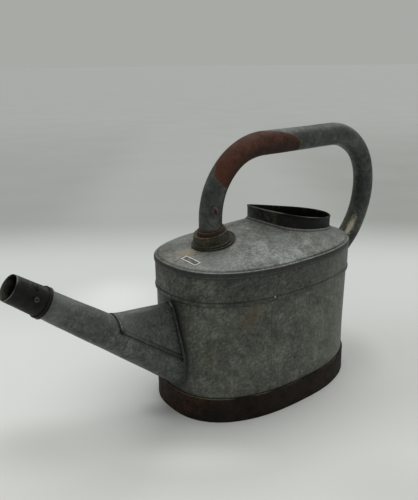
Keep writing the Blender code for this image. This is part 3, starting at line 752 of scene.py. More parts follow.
def make_band():
    top = BODY_HEIGHT - SHEET - GAP
    half = BEAD_HEIGHT / 2.0
    bead_middle = BAND_BOTTOM + half
    bead_top = BAND_BOTTOM + BEAD_HEIGHT
    profile = [(0.0002, BAND_BOTTOM), (BEAD_DEPTH * 0.7, BAND_BOTTOM + 0.0003)]
    for i in range(9):
        share = -0.8 + 1.6 * i / 8
        profile.append((BEAD_DEPTH * (1.0 - 0.45 * share ** 4), bead_middle + half * share))
    profile += [(BEAD_DEPTH * 0.30, bead_top), (-0.0002, bead_top + 0.0006)]
    profile += line((0.0, bead_top + 0.0016), (0.0, top), 18)
    profile += line((BAND_INSIDE, top), (BAND_INSIDE, BAND_BOTTOM), 10)
    rings = oval_rings(profile)
    points = rings.reshape(-1, 3)
    groove = hump(points[:, 2], bead_top + 0.0004, 0.0007)
    under_rim = fading(-points[:, 2], RIM_DROP - BODY_HEIGHT, 0.0022)
    lower_lip = hump(points[:, 2], BAND_BOTTOM, 0.0005)
    bead = hump(points[:, 2], bead_middle, 0.0012)
    joint = away_from(points, SPOUT_JOINT)
    # Painted shade in the groove above the bead, in the rim's shadow under the plate and under the band's
    # lower lip. Painted light: paler towards the rear end.
    painted = {
        "stain": 0.25 * near_spots(points, WALL_STAINS),
        "soot_and_shade": 0.85 * groove + 0.9 * under_rim + 0.5 * lower_lip + 0.25 * np.exp(-joint / 0.020),
        "wear_and_highlight": 0.26 * bead + near_spots(points, [(*dot, 0.0014, 1.3) for dot in WALL_DOTS]),
        "pale": 0.42 * eased(points[:, 0], -0.05, 0.11),
    }
    shell("upper_band_sheet", rings, painted, BAND_ZINC, "galvanised_wall", "upper_band")


def on_near_wall(x, z, outset):
    """The point of the oval's near side at x and z."""
    y = -solve(lambda v: in_oval(x, v, outset), np.zeros(1), np.full(1, BODY_WIDTH))[0]
    return np.array((x, y, z))


def make_lap_seam():
    """The wall sheet's upright overlap on the near side, a little proud of the wall."""
    low = HOOP_HEIGHT + 0.0005
    high = BAND_BOTTOM - 0.0006
    rows = 40
    half = LAP_SEAM_WIDTH / 2.0
    section = [(-half, 0.00003), (-half * 0.92, 0.00045), (-half * 0.6, 0.00055), (0.0, 0.00052)]
    section += [(half * 0.5, 0.00035), (half, 0.00003), (half, -0.0002), (-half, -0.0002)]
    rings = []
    for i in range(rows + 1):
        height = low + (high - low) * i / rows
        ring = []
        for across, rise in section:
            point = on_near_wall(LAP_SEAM_X + across + LAP_SEAM_LEAN * i / rows, height, WALL_OUTSIDE)
            ring.append(point + outward(point) * (rise - wall_dents(point)))
        rings.append(ring)
    points = np.array(rings).reshape(-1, 3)
    edge = np.array([1.0, 0.6, 0.0, 0.0, 0.0, 0.4, 1.0, 1.0] * (rows + 1))
    higher = 0.15 + 0.85 * eased(points[:, 2], 0.080, 0.150)
    # Painted light: paler towards the rear end, as on the wall. The seam is darker along its two edges, more
    # so higher up.
    painted = {
        "soot_and_shade": 0.55 * edge * higher,
        "stain": near_spots(points, WALL_STAINS),
        "pale": 0.30 * eased(points[:, 0], -0.03, 0.13),
    }
    shell("wall_lap_seam", rings, painted, WALL_ZINC, "galvanised_wall", wrap=False, smooth=70.0)


HOOP_SCRATCHES = ((0.0304, -0.1056, 0.0193, 0.008, 0.40), (0.0610, -0.1022, 0.0170, 0.009, 0.35))


HOOP_EDGE = 0.0007


def make_hoop():
    outer = HOOP_OUTSIDE
    inner = HOOP_INSIDE
    edge = HOOP_EDGE
    profile = arc((outer - edge, edge), edge, -90.0, 0.0, 4)
    profile += line((outer, 0.003), (outer, HOOP_HEIGHT - 0.003), 14)
    profile += arc((outer - edge, HOOP_HEIGHT - edge), edge, 0.0, 90.0, 4)
    profile += arc((inner + edge / 2.0, HOOP_HEIGHT - edge / 2.0), edge / 2.0, 90.0, 180.0, 3)
    profile += line((inner, HOOP_HEIGHT - 0.003), (inner, 0.0015), 8)
    profile += [(inner + 0.0003, 0.0)]
    rings = oval_rings(profile)
    points = rings.reshape(-1, 3)
    out = outward(points)
    pitted = HOOP_PITTING * swell(points, 0.009, 21)
    outer_side = eased(np.abs(points[:, 2] - HOOP_HEIGHT / 2.0), HOOP_HEIGHT / 2.0, HOOP_HEIGHT / 2.0 - 0.001)
    points -= out * (pitted * outer_side)[:, None]
    top_edge = hump(points[:, 2], HOOP_HEIGHT, 0.0005)
    top_edge *= 1.0 - 0.45 * eased(points[:, 0], -0.06, 0.02)
    front = eased(-points[:, 0], 0.10, 0.17)
    patchy = 0.65 + 0.5 * ripple(points, 0.030, 22)
    scratches = near_spots(points, HOOP_SCRATCHES)
    painted = {
        "wear_and_highlight": 0.95 * top_edge * np.clip(patchy, 0.25, 1.0) + scratches,
        "rust": 0.45 * front + 0.25 * np.clip(ripple(points, 0.05, 23), 0.0, 1.0),
    }
    shell("iron_hoop", rings, painted, RUSTED_IRON, "rusted_iron", "base_hoop")


def make_pan():
    """The bottom: a flanged pan, slightly sunk towards its middle."""
    foot = PAN_HEIGHT - PAN_FLANGE
    outer = PAN_OUTSIDE
    inner = PAN_OUTSIDE - SHEET

    def disc(height, outset, shares):
        rings = []
        edge = oval_at(OVAL_ANGLES, outset)
        for share in shares:
            level = height - 0.0008 * eased(1.0 - share, 0.0, 0.3)
            rings.append(np.column_stack([edge * share, np.full(OVAL_STEPS, level)]))
        return rings

    inwards = [0.985, 0.95, 0.9, 0.8, 0.65, 0.5, 0.35, 0.2, 0.08]
    rings = disc(PAN_HEIGHT, outer - 0.0006, reversed(inwards))
    rings += list(oval_rings([(outer - 0.0003, PAN_HEIGHT - 0.0001), (outer, PAN_HEIGHT - 0.0006)]))
    rings += list(oval_rings([(outer, foot), (inner, foot), (inner, PAN_HEIGHT - SHEET - 0.0006)]))
    rings += disc(PAN_HEIGHT - SHEET, inner - 0.0006, inwards)
    points = np.array(rings).reshape(-1, 3)
    rim = eased(np.linalg.norm(points[:, :2] / np.array((0.16, 0.105)), axis=1), 0.7, 1.0)
    painted = {"soot_and_shade": 0.35 + 0.4 * rim, "rust": 0.25 + 0.5 * rim}
    shell("bottom_pan", rings, painted, WALL_ZINC, "galvanised_wall", "bottom_plate", wrap=False)


# Top plate and neck

PLATE_BLOOM = (
    (-0.0411, -0.0549, 0.2400, 0.016, 0.50),
    (-0.0368, -0.0833, 0.2304, 0.022, 0.50),
    (-0.0011, -0.0877, 0.2296, 0.018, 0.60),
    (-0.1047, -0.0662, 0.2280, 0.022, 0.42),
    (-0.0255, -0.0991, 0.2246, 0.014, 0.50),
    (0.0315, -0.0769, 0.2337, 0.014, 0.45),
    (-0.1322, -0.0574, 0.2247, 0.020, 0.30),
    (-0.0825, -0.0717, 0.2299, 0.022, 0.42),
    (-0.0600, -0.0640, 0.2350, 0.018, 0.35),
    (0.1082, -0.0802, 0.2245, 0.010, 0.50),
    (0.1000, 0.0700, 0.2360, 0.030, 0.35),
    (-0.0300, 0.0750, 0.2360, 0.035, 0.30),
)
PLATE_PALE = (
    (-0.1150, -0.0580, 0.2290, 0.034, 0.42),
    (-0.0411, -0.0549, 0.2400, 0.0055, 0.75),
    (-0.0368, -0.0833, 0.2304, 0.0050, 0.85),
    (-0.0011, -0.0877, 0.2296, 0.0060, 1.00),
    (-0.0255, -0.0991, 0.2246, 0.0045, 0.75),
    (0.0315, -0.0769, 0.2337, 0.0050, 0.80),
    (-0.0051, -0.0537, 0.2431, 0.0090, 0.30),
    (-0.0680, -0.0760, 0.2300, 0.0050, 0.55),
    (-0.0560, -0.0840, 0.2290, 0.0045, 0.60),
    (0.1082, -0.0802, 0.2245, 0.0045, 0.80),
)
PLATE_TAN = (
    (-0.1190, 0.0010, 0.2315, 0.010, 0.75),
    (-0.1250, 0.0110, 0.2300, 0.011, 0.55),
    (-0.1434, 0.0349, 0.2251, 0.016, 0.38),
    (-0.1480, 0.0100, 0.2250, 0.018, 0.30),
    (-0.1300, -0.0180, 0.2290, 0.014, 0.22),
)
PLATE_STAINS = (
    (-0.1180, -0.0100, 0.2310, 0.010, 0.50),
    (-0.0600, -0.0300, 0.2400, 0.020, 0.25),
    (-0.0239, -0.0560, 0.2426, 0.013, 0.55),
    (-0.0160, -0.0760, 0.2330, 0.009, 0.50),
    (-0.0560, -0.0720, 0.2330, 0.008, 0.45),
    (-0.0470, -0.0920, 0.2270, 0.008, 0.45),
    (0.0300, -0.0620, 0.2400, 0.030, 0.25),
    (0.1200, -0.0500, 0.2320, 0.030, 0.35),
    (-0.0400, 0.0300, 0.2450, 0.040, 0.45),
)
PLATE_RUST = (
    (-0.1140, 0.0020, 0.2330, 0.006, 0.45),
    (-0.0403, -0.0795, 0.2316, 0.0026, 0.90),
    (-0.1400, -0.0100, 0.2280, 0.005, 0.35),
)


PLATE_ROWS = 46
PLATE_BEAD_WIDTH = 0.0068


def make_plate():
    hole = neck_edge(GAP)
    shoulder = oval_at(OVAL_ANGLES, RIM_OUTSIDE - PLATE_BEAD_WIDTH)

    def skin(lift):
        return [on_plate(hole + (shoulder - hole) * i / PLATE_ROWS, lift) for i in range(PLATE_ROWS + 1)]

    def off_rim(outset, height):
        return oval_rings([(RIM_OUTSIDE + outset, height)])[0]

    def near_rim(outset, lift):
        return on_plate(oval_at(OVAL_ANGLES, RIM_OUTSIDE + outset), lift)

    top = BODY_HEIGHT + PLATE_SHOULDER
    foot = BODY_HEIGHT - RIM_DROP
    rings = skin(0.0)
    rings += [near_rim(-0.0060, -0.0002), near_rim(-0.0054, -0.0008), near_rim(-0.0048, -0.0013)]
    bead = [(-0.0043, -0.0008), (-0.0038, -0.0002), (-0.0032, 0.0), (-0.0024, -0.0001), (-0.0016, -0.0005)]
    bead += [(-0.0009, -0.0011), (-0.0003, -0.0019), (0.0, -0.0030)]
    rings += [off_rim(outset, top + drop) for outset, drop in bead]
    rings += [off_rim(0.0, foot + 0.0016), off_rim(-0.0001, foot + 0.0008), off_rim(-0.0004, foot + 0.0002)]
    rings += [off_rim(RIM_INSIDE - RIM_OUTSIDE, foot), off_rim(RIM_INSIDE - RIM_OUTSIDE, BODY_HEIGHT - SHEET)]
    rings += [off_rim(-0.0030, BODY_HEIGHT - 0.0002), near_rim(-0.0050, -0.0013 - SHEET)]
    rings += list(reversed(skin(-SHEET)))
    points = np.array(rings).reshape(-1, 3)

    flat = points[:, :2]
    to_collar = np.linalg.norm(flat - np.array((COLLAR_X, 0.0)), axis=1) - FLANGE_RADIUS
    collar_line = np.exp(-np.abs(to_collar) / 0.0016)
    neck_ring = neck_edge(GAP + LEDGE_WIDTH)
    to_neck = away_from(flat, neck_ring[::3])
    neck_line = np.exp(-to_neck / 0.0013)
    half = np.array((BODY_LENGTH / 2.0, BODY_WIDTH / 2.0))
    level = np.sum(np.abs(flat / (half + RIM_OUTSIDE)) ** OVAL_POWER, axis=1) ** (1.0 / OVAL_POWER)
    from_rim = (1.0 - level) * BODY_WIDTH / 2.0
    groove = hump(from_rim, 0.0046, 0.0010)
    ridge = hump(from_rim, 0.0032, 0.0008) * (points[:, 2] > BODY_HEIGHT + 0.001)
    drop = eased(points[:, 2], BODY_HEIGHT + 0.0019, BODY_HEIGHT + 0.0009) * (from_rim < 0.0028)
    rim_foot = hump(points[:, 2], foot + 0.0006, 0.0007) * (from_rim < 0.0008)
    patch = patches(points, 0.020, 31, 0.6, 0.5, 0.0)
    # Painted shade: round the neck ledge's foot, in the crease inside the rim bead and over the rim's outer
    # face, stopping short of the rim's foot to leave a lighter line. Darker also round the collar's flange.
    painted = {
        "stain": near_spots(points, PLATE_STAINS),
        "rust": near_spots(points, PLATE_RUST),
        "tan": near_spots(points, PLATE_TAN),
        "bloom": near_spots(points, PLATE_BLOOM),
        "pale": near_spots(points, PLATE_PALE),
        "soot_and_shade": 0.45 * collar_line + 0.85 * neck_line + 0.45 * groove + 0.85 * drop - 0.30 * rim_foot,
        "wear_and_highlight": 0.30 * ridge * patch,
    }
    shell("peaked_plate", rings, painted, PLATE_ZINC, "galvanised_plate", "top_plate")


def make_neck():
    def ring(outset, drop):
        """A ring on the neck, a share of the way down from its top to below the plate."""
        edge = neck_edge(outset)
        rise = NECK_FRONT_RISE - NECK_TOP_SLOPE * (edge[:, 0] - NECK_FRONT)
        top = BODY_HEIGHT + rise - NECK_SIDE_DROOP * (2.0 * edge[:, 1] / NECK_WIDTH) ** 2
        wave = 0.0004 * np.clip(ripple(np.column_stack([edge, 0.0 * top]), 0.040, 41), -1.0, 0.0)
        foot = plate_height(edge[:, 0], edge[:, 1]) - SHEET - NECK_BELOW
        share = np.clip((drop - NECK_EDGE_DEPTH) / (1.0 - NECK_EDGE_DEPTH), 0.0, 1.0)
        edge_height = top + wave - np.minimum(drop, NECK_EDGE_DEPTH)
        return np.column_stack([edge, edge_height + (foot - edge_height) * share])

    roll = NECK_ROLL
    profile = [(0.0, drop) for drop in np.linspace(1.0, 0.12, 9)]
    profile += [(0.0, 0.0032), (roll * 0.5, 0.0026), (roll, 0.0019), (roll, 0.0009), (roll * 0.75, 0.0003)]
    profile += [(roll * 0.25, 0.0), (-SHEET * 0.6, 0.0), (-SHEET, 0.0004), (-SHEET, 0.0015)]
    profile += [(-SHEET, drop) for drop in np.linspace(0.12, 1.0, 9)]
    rings = np.array([ring(outset, drop) for outset, drop in profile])
    outsets, drops = np.repeat(np.array(profile), OVAL_STEPS, axis=0).T
    points = rings.reshape(-1, 3)
    patch = patches(points, 0.015, 43, 0.6, 0.4, 0.15)
    inside = outsets < -SHEET * 0.9
    upright = np.column_stack([points[:, :2], 0.2 * points[:, 2]])
    scrapes = inside * eased(ripple(upright, 0.0035, 44), 0.6, 1.3) * eased(points[:, 0], 0.05, 0.10)
    scrapes = scrapes * eased(drops, 0.55, 0.10)
    outside = outsets >= 0.0
    rear = eased(points[:, 0], 0.010, 0.060) * (1.0 - 0.5 * eased(drops, 0.60, 0.85))
    # Painted shade just under the rolled top edge and deepening down the inside of the neck. The outside is
    # also darker towards the rear and lighter towards the front.
    soot_and_shade = outside * (0.4 * hump(drops, 0.0032, 0.0008) + 0.75 * rear)
    wear_and_highlight = (0.75 * hump(drops, 0.0, 0.0006) + 0.15 * (drops < 0.0022)) * patch + 0.35 * scrapes
    painted = {
        "soot_and_shade": soot_and_shade + 0.7 * inside * eased(drops, 0.0010, 0.05) * (1.0 - scrapes),
        "wear_and_highlight": wear_and_highlight + 0.42 * outside * eased(-points[:, 0], -0.035, 0.0),
        "stain": 0.35 * outside * eased(drops, 0.0, 0.5),
    }
    shell("filler_band", rings, painted, BLACK_SHEET, "blackened_sheet", "filler_neck")

    width = GAP + LEDGE_WIDTH
    profile = [(GAP, GAP * 0.5), (width, THIN_GAP), (width + 0.0003, 0.0007), (width + 0.0001, 0.0014)]
    profile += [(width - 0.0006, LEDGE_HEIGHT), (GAP + 0.0005, LEDGE_HEIGHT + 0.0002), (GAP, LEDGE_HEIGHT)]
    rings = np.array([on_plate(neck_edge(outset), height) for outset, height in profile])
    heights = np.repeat([height for _, height in profile], OVAL_STEPS)
    # Painted shade under the ledge's lip; the ledge is lighter on its upper face.
    painted = {
        "soot_and_shade": 0.9 * eased(heights, 0.0009, 0.0004),
        "wear_and_highlight": 0.40 * eased(heights, 0.0012, LEDGE_HEIGHT),
    }
    shell("neck_ledge", rings, painted, PLATE_ZINC, "galvanised_plate", "neck_ring", smooth=70.0)


# Spout

SPOUT_AXIS = np.array((math.cos(SPOUT_SLOPE), 0.0, -math.sin(SPOUT_SLOPE)))
SPOUT_UP = np.array((math.sin(SPOUT_SLOPE), 0.0, math.cos(SPOUT_SLOPE)))
NEAR = np.array((0.0, -1.0, 0.0))
SPOUT_ROOT = np.array((-(BODY_LENGTH / 2.0 + WALL_OUTSIDE), 0.0, SPOUT_ROOT_HEIGHT))
SPOUT_MOUTH = SPOUT_ROOT - SPOUT_AXIS * SPOUT_LENGTH


def circle(steps):
    return np.arange(steps) / steps * 2.0 * math.pi


def spout_radius(along):
    return SPOUT_TIP_RADIUS + (SPOUT_ROOT_RADIUS - SPOUT_TIP_RADIUS) * along / SPOUT_LENGTH


def socket_radius(along):
    return spout_radius(along) + GAP + SHEET


def round_spout(along, turn, radius):
    """Points round the spout's axis; turn 0 is the near side, a quarter turn the top."""
    along, turn, radius = np.broadcast_arrays(along, turn, radius)
    out = NEAR * np.cos(turn)[..., None] + SPOUT_UP * np.sin(turn)[..., None]
    return SPOUT_MOUTH + SPOUT_AXIS * along[..., None] + out * radius[..., None]


def to_wall(point_at, turns, outset, start=0.0):
    """Per turn, how far along the spout its line meets the wall."""
    def outside(along):
        points = point_at(along)
        return ~in_oval(points[..., 0], points[..., 1], outset)

    size = np.shape(turns)
    return solve(outside, np.full(size, start), np.full(size, SPOUT_LENGTH * 1.3))


UNDER_SEAM_HEIGHT = 0.0005
UNDER_SEAM_HALF = 7.0


def make_spout():
    turns = circle(TUBE_STEPS * 2)
    start = SOCKET_LENGTH - SOCKET_OVERLAP
    seam = UNDER_SEAM_HEIGHT * np.exp(-((np.degrees(turns) - 270.0) / UNDER_SEAM_HALF) ** 4)

    def skin(inset, rows, rise):
        end = to_wall(lambda s: round_spout(s, turns, spout_radius(s) - inset), turns, WALL_OUTSIDE + GAP)
        rings = []
        for i in range(rows + 1):
            along = start + (end - start) * i / rows
            free = eased(along, SOCKET_LENGTH, SOCKET_LENGTH + 0.02) * eased(end - along, 0.0, 0.03)
            place = round_spout(along, turns, spout_radius(along))
            dent = SPOUT_DENT * swell(place, 0.030, 51) * free
            rings.append(round_spout(along, turns, spout_radius(along) - inset - dent + rise * free))
        return rings

    outer = skin(0.0, 90, seam)
    inner = skin(SHEET, 24, 0.0 * seam)
    rings = np.array(outer + list(reversed(inner)))
    points = rings.reshape(-1, 3)
    along = (points - SPOUT_MOUTH) @ SPOUT_AXIS
    up = (points - SPOUT_MOUTH) @ SPOUT_UP
    inside = np.repeat(np.arange(len(rings)) >= len(outer), len(turns))
    behind_socket = fading(along, SOCKET_LENGTH + 0.003, 0.004)
    joint = away_from(points, SPOUT_JOINT[::2])
    to_gusset = away_from(points, gusset_rim_points())
    # Painted shade inside the spout and along the gusset's edges; darker also just behind the sleeve and at
    # the wall joint. Painted light: a soft highlight band near the sleeve and a paler top.
    soot_and_shade = 0.8 * inside + 0.45 * behind_socket + 0.8 * np.exp(-joint / 0.004)
    soot_and_shade += 0.75 * np.exp(-to_gusset / 0.0018) + 0.22 * np.exp(-to_gusset / 0.010)
    painted = {
        "soot_and_shade": soot_and_shade + near_spots(points, (GUSSET_CORNER,)),
        "pale": 0.40 * hump(along, 0.060, 0.016) + 0.25 * eased(up, 0.004, 0.016),
        "stain": 0.35 * eased(along, 0.14, 0.24),
    }
    shell("tapered_spout", rings, painted, TUBE_ZINC, "zinc_tube", "spout_tube")


def make_socket():
    turns = circle(TUBE_STEPS * 2)
    wall = SHEET
    profile = [(SOCKET_LENGTH, -wall), (SOCKET_LENGTH, -0.0002), (SOCKET_LENGTH - 0.0003, 0.0)]
    profile += line((SOCKET_LENGTH - 0.002, 0.0), (0.0012, 0.0), 16)
    profile += [(0.0005, -0.0001), (0.0001, -0.0003), (0.0, -0.0005)]
    profile += [(0.0001, -wall + 0.0001), (0.0005, -wall)]
    profile += line((0.0015, -wall), (SOCKET_LENGTH - 0.002, -wall), 14)
    rings = []
    for along, rise in profile:
        radius = socket_radius(along) + rise
        place = round_spout(along, turns, radius)
        dent = SOCKET_DENT * swell(place, 0.020, 61)
        rings.append(round_spout(along, turns, radius - dent * (rise > -0.00045)))
    points = np.array(rings).reshape(-1, 3)
    along, rises = np.repeat(np.array(profile), len(turns), axis=0).T
    inside = (rises < -0.0008) * eased(along, 0.0008, 0.010)
    mouth_lip = hump(along, 0.0, 0.0011)
    around = np.tile(turns, len(profile))
    patch = patches(points, 0.012, 62, 0.5, 0.5, 0.1)
    crescent = (rises < -0.0008) * eased(np.cos(around - math.radians(205.0)), 0.2, 0.9)
    crescent = crescent * np.exp(-along / 0.018)
    upper = (rises > -0.0002) * eased(np.sin(around), 0.35, 0.95)
    near = eased(np.cos(around), -0.5, 0.2)
    # Painted shade inside the mouth, with a painted crescent of light in it; painted highlights on the
    # mouth's lip, stronger on the near side, and a paler upper side.
    painted = {
        "soot_and_shade": 0.85 * inside * (1.0 - crescent),
        "wear_and_highlight": (0.45 + 0.45 * near) * mouth_lip * (0.5 + 0.5 * patch) + 0.40 * upper + 0.80 * crescent,
        "stain": 0.15 * patch,
    }
    shell("spout_sleeve", rings, painted, BLACK_SHEET, "blackened_sheet", "spout_socket")

    on_sleeve = SOCKET_LENGTH - 2.0 * SOCKET_RING_WIDTH
    make_socket_ring("sleeve_bead_front", "socket_ring_front", on_sleeve, socket_radius, BLACK_SHEET)
    make_socket_ring("sleeve_bead_rear", "socket_ring_rear", SOCKET_LENGTH + GAP, spout_radius, TUBE_ZINC)


def make_socket_ring(name, node, start, carrier, look):
    end = start + SOCKET_RING_WIDTH
    middle = (start + end) / 2.0
    turns = circle(TUBE_STEPS * 2)
    proud = socket_radius(end) + GAP + SOCKET_RING_DEPTH
    rings = [round_spout(start, turns, carrier(start) + GAP * 0.2)]
    for i in range(9):
        angle = math.radians(180.0 - 180.0 * i / 8)
        along = middle + (end - start) / 2.0 * math.cos(angle)
        foot = carrier(along) + GAP
        rings.append(round_spout(along, turns, foot + (proud - foot) * math.sin(angle) ** 0.6))
    rings.append(round_spout(end, turns, carrier(end) + GAP * 0.2))
    points = np.array(rings).reshape(-1, 3)
    rise = np.repeat([0.0] + [math.sin(math.pi * i / 8) for i in range(9)] + [0.0], len(turns))
    patch = patches(points, 0.010, 63, 0.5, 0.5, 0.0)
    zinc = look is TUBE_ZINC
    slot = "zinc_tube" if zinc else "blackened_sheet"
    top = eased(np.tile(np.sin(turns), len(rings)), 0.55, 0.85) * zinc
    # Painted shade at the bead's foot and painted highlights on its crest, and on the zinc bead on its top as
    # well.
    painted = {
        "soot_and_shade": (0.15 if zinc else 0.45) * (1.0 - rise),
        "wear_and_highlight": (0.12 + 0.50 * top) * rise * (0.4 + 0.6 * patch),
        "pale": 0.35 * rise,
    }
    shell(name, rings, painted, look, slot, node, smooth=80.0)


def make_stud(name, node, stud, shine):
    """A domed stud on a low washer, its foot curved to the sleeve."""
    along, turn, radius, tall = stud
    out = NEAR * math.cos(turn) + SPOUT_UP * math.sin(turn)
    side = np.cross(SPOUT_AXIS, out)
    angles = circle(32)
    profile = [(1.45, 0.15), (1.45, 0.35), (1.30, 0.45), (1.0, 0.40), (0.98, 0.9), (0.88, 1.0)]
    profile += [(0.60, 0.98), (0.40, 0.72), (0.12, 0.68)]
    rings = []
    for width, height in profile:
        forward = radius * width * np.cos(angles)
        across = radius * width * np.sin(angles)
        rise = np.sqrt(socket_radius(along + forward) ** 2 - across ** 2) + tall * height
        centre = SPOUT_MOUTH + SPOUT_AXIS * (along + forward)[:, None]
        rings.append(centre + side * across[:, None] + out * rise[:, None])
    widths, heights = np.repeat(np.array(profile), len(angles), axis=0).T
    # Painted highlights on the dome's top and the washer's edge, and painted shade in the dimple and at the
    # foot, all scaled by shine.
    painted = {
        "wear_and_highlight": shine * ((heights > 0.85) + 0.3 * (widths > 1.2)),
        "soot_and_shade": shine * (1.2 * (widths < 0.5) + 0.6 * (heights < 0.2)),
    }
    shell(name, rings, painted, BLACK_SHEET, "blackened_sheet", node, wrap=False, smooth=60.0)


# Gusset: each section is the hull of the spout's circle and a small circle under the ridge

TO_WALL_TOP = np.array((SPOUT_ROOT[0], 0.0, GUSSET_TOP)) - SPOUT_MOUTH
RIDGE_END_ALONG = TO_WALL_TOP @ SPOUT_AXIS
RIDGE_END_HEIGHT = TO_WALL_TOP @ SPOUT_UP
RIDGE_START_HEIGHT = spout_radius(GUSSET_FRONT) + GAP + SHEET
RIDGE_SLOPE = (RIDGE_END_HEIGHT - RIDGE_START_HEIGHT) / (RIDGE_END_ALONG - GUSSET_FRONT)


def gusset_distance(along, turn, inset):
    """Distance from the spout's axis to the gusset's face, inset from its outside."""
    along, turn = np.broadcast_arrays(np.asarray(along, float), np.asarray(turn, float))
    turn = np.where(turn > math.pi / 2.0, math.pi - turn, turn)
    big = spout_radius(along) + GAP + SHEET - inset
    small = GUSSET_RIDGE_RADIUS - inset
    centre = RIDGE_START_HEIGHT + (along - GUSSET_FRONT) * RIDGE_SLOPE - inset - small
    merged = (centre + small <= big) | (centre <= np.abs(big - small))
    spread = np.where(merged, 1.0, centre)
    tangent = np.arcsin(np.clip((big - small) / spread, -1.0, 1.0))
    side_end = np.arctan2(spread + small * np.sin(tangent), small * np.cos(tangent))
    flat = big / np.maximum(np.cos(turn - tangent), 0.05)
    inside_root = np.maximum(small ** 2 - (spread * np.cos(turn)) ** 2, 0.0)
    cap = spread * np.sin(turn) + np.sqrt(inside_root)
    made = np.where(turn <= side_end, flat, cap)
    made = np.where(turn <= tangent, big, made)
    return np.where(merged, big, made)


def gusset_front(turn):
    """Where the gusset's front edge lies along the spout, swept back down its sides."""
    share = np.abs(math.pi / 2.0 - turn) / (math.pi / 2.0 - GUSSET_EDGE_TURN)
    return GUSSET_FRONT + GUSSET_FRONT_SWEEP * share ** 2


def gusset_rim_points():
    """Points along the gusset's front edge and its two folded seams."""
    turns = np.linspace(GUSSET_EDGE_TURN, math.pi - GUSSET_EDGE_TURN, 60)
    front = gusset_front(turns)
    made = [round_spout(front, turns, spout_radius(front))]
    for turn in (GUSSET_EDGE_TURN, math.pi - GUSSET_EDGE_TURN):
        along = np.linspace(gusset_front(turn), SPOUT_LENGTH, 60)
        made.append(round_spout(along, turn, spout_radius(along)))
    return np.concatenate(made)


GUSSET_CORNER_RADIUS = 0.0243
GUSSET_CORNER_AT = round_spout(GUSSET_FRONT + GUSSET_FRONT_SWEEP, GUSSET_EDGE_TURN, GUSSET_CORNER_RADIUS)
GUSSET_CORNER = (*GUSSET_CORNER_AT, 0.0032, 0.9)


def joint_line():
    """Points along the line where the spout and the gusset meet the wall."""
    top_turns = np.linspace(GUSSET_EDGE_TURN, math.pi - GUSSET_EDGE_TURN, 60)

    def on_gusset(along):
        return round_spout(along, top_turns, gusset_distance(along, top_turns, 0.0))

    low_turns = np.linspace(math.pi - GUSSET_EDGE_TURN, 2.0 * math.pi + GUSSET_EDGE_TURN, 60)

    def on_spout(along):
        return round_spout(along, low_turns, spout_radius(along))

    start = GUSSET_FRONT + GUSSET_FRONT_SWEEP
    top = on_gusset(to_wall(on_gusset, top_turns, WALL_OUTSIDE, start))
    low = on_spout(to_wall(on_spout, low_turns, WALL_OUTSIDE, start))
    return np.concatenate([top, low])


SPOUT_JOINT = joint_line()


def lip(distance):
    """Height share of a folded seam, by the distance in from its edge, with a groove."""
    rise = 1.0 - eased(distance, SEAM_WIDTH, SEAM_WIDTH + 0.0010)
    groove = hump(distance, SEAM_WIDTH * 0.50, 0.0004)
    edge = 1.0 - eased(distance, 0.0005, 0.0)
    return rise * (1.0 - 0.55 * groove) * (0.45 + 0.55 * edge)


GUSSET_COLUMNS = 110
GUSSET_ROWS = 70


def make_gusset():
    share = np.linspace(-1.0, 1.0, GUSSET_COLUMNS + 1)
    from_ridge = (math.pi / 2.0 - GUSSET_EDGE_TURN) * (0.55 * share + 0.45 * share ** 3)
    turns = math.pi / 2.0 + from_ridge
    start = gusset_front(turns)
    front_fold = 0.25 + 0.75 * eased(np.abs(from_ridge), math.radians(25.0), math.radians(55.0))

    def grid(inset, fold):
        def at(along):
            return round_spout(along, turns, gusset_distance(along, turns, inset) + edge_rise)

        base = gusset_distance(start, turns, inset)
        across = np.minimum(turns - turns[0], turns[-1] - turns) * base
        edge_rise = fold * SEAM_DEPTH * lip(across)
        end = to_wall(at, turns, WALL_OUTSIDE + GAP, GUSSET_FRONT + GUSSET_FRONT_SWEEP)
        made = []
        for i in range(GUSSET_ROWS + 1):
            share = (i / GUSSET_ROWS) ** 1.5
            along = start + (end - start) * share
            distance = gusset_distance(along, turns, inset)
            side = np.minimum(turns - turns[0], turns[-1] - turns) * distance
            raised = np.maximum(lip(side), lip(along - start) * front_fold)
            place = round_spout(along, turns, distance)
            free = eased(share, 0.0, 0.2) * eased(1.0 - share, 0.0, 0.15)
            dent = GUSSET_DENT * swell(place, 0.026, 71) * free
            made.append(round_spout(along, turns, distance + fold * SEAM_DEPTH * raised - dent))
        return np.array(made)

    outer = grid(0.0, 1.0)
    inner = grid(SHEET, 0.0)
    rings = np.concatenate([outer, inner[::-1]], axis=0).transpose(1, 0, 2)
    points = rings.reshape(-1, 3)
    to_rim = away_from(points, gusset_rim_points())
    joint = away_from(points, SPOUT_JOINT[::2])
    along = (points - SPOUT_MOUTH) @ SPOUT_AXIS
    up = (points - SPOUT_MOUTH) @ SPOUT_UP
    front_edge = hump(to_rim, 0.0024, 0.0008) * eased(along, 0.157, 0.153)
    fold_line = hump(to_rim, 0.0042, 0.0010) + hump(to_rim, 0.0018, 0.0006)
    ridge = eased(up, 0.028, 0.050) * eased(along, 0.225, 0.175)
    # Painted shade in the fold grooves, and darker at the wall joint. Painted light: paler along the upper
    # part by the ridge and in a band across the face.
    soot_and_shade = 0.55 * fold_line + 0.85 * np.exp(-joint / 0.003) + 0.55 * np.exp(-joint / 0.018)
    painted = {
        "soot_and_shade": soot_and_shade + near_spots(points, (GUSSET_CORNER,)),
        "wear_and_highlight": 0.52 * front_edge,
        "pale": 0.30 * hump(along, 0.165, 0.02) + 0.45 * ridge,
        "stain": 0.15 + 0.2 * eased(along, 0.17, 0.22),
    }
    shell("folded_gusset", rings, painted, TUBE_ZINC, "zinc_tube", "spout_gusset", wrap=False)


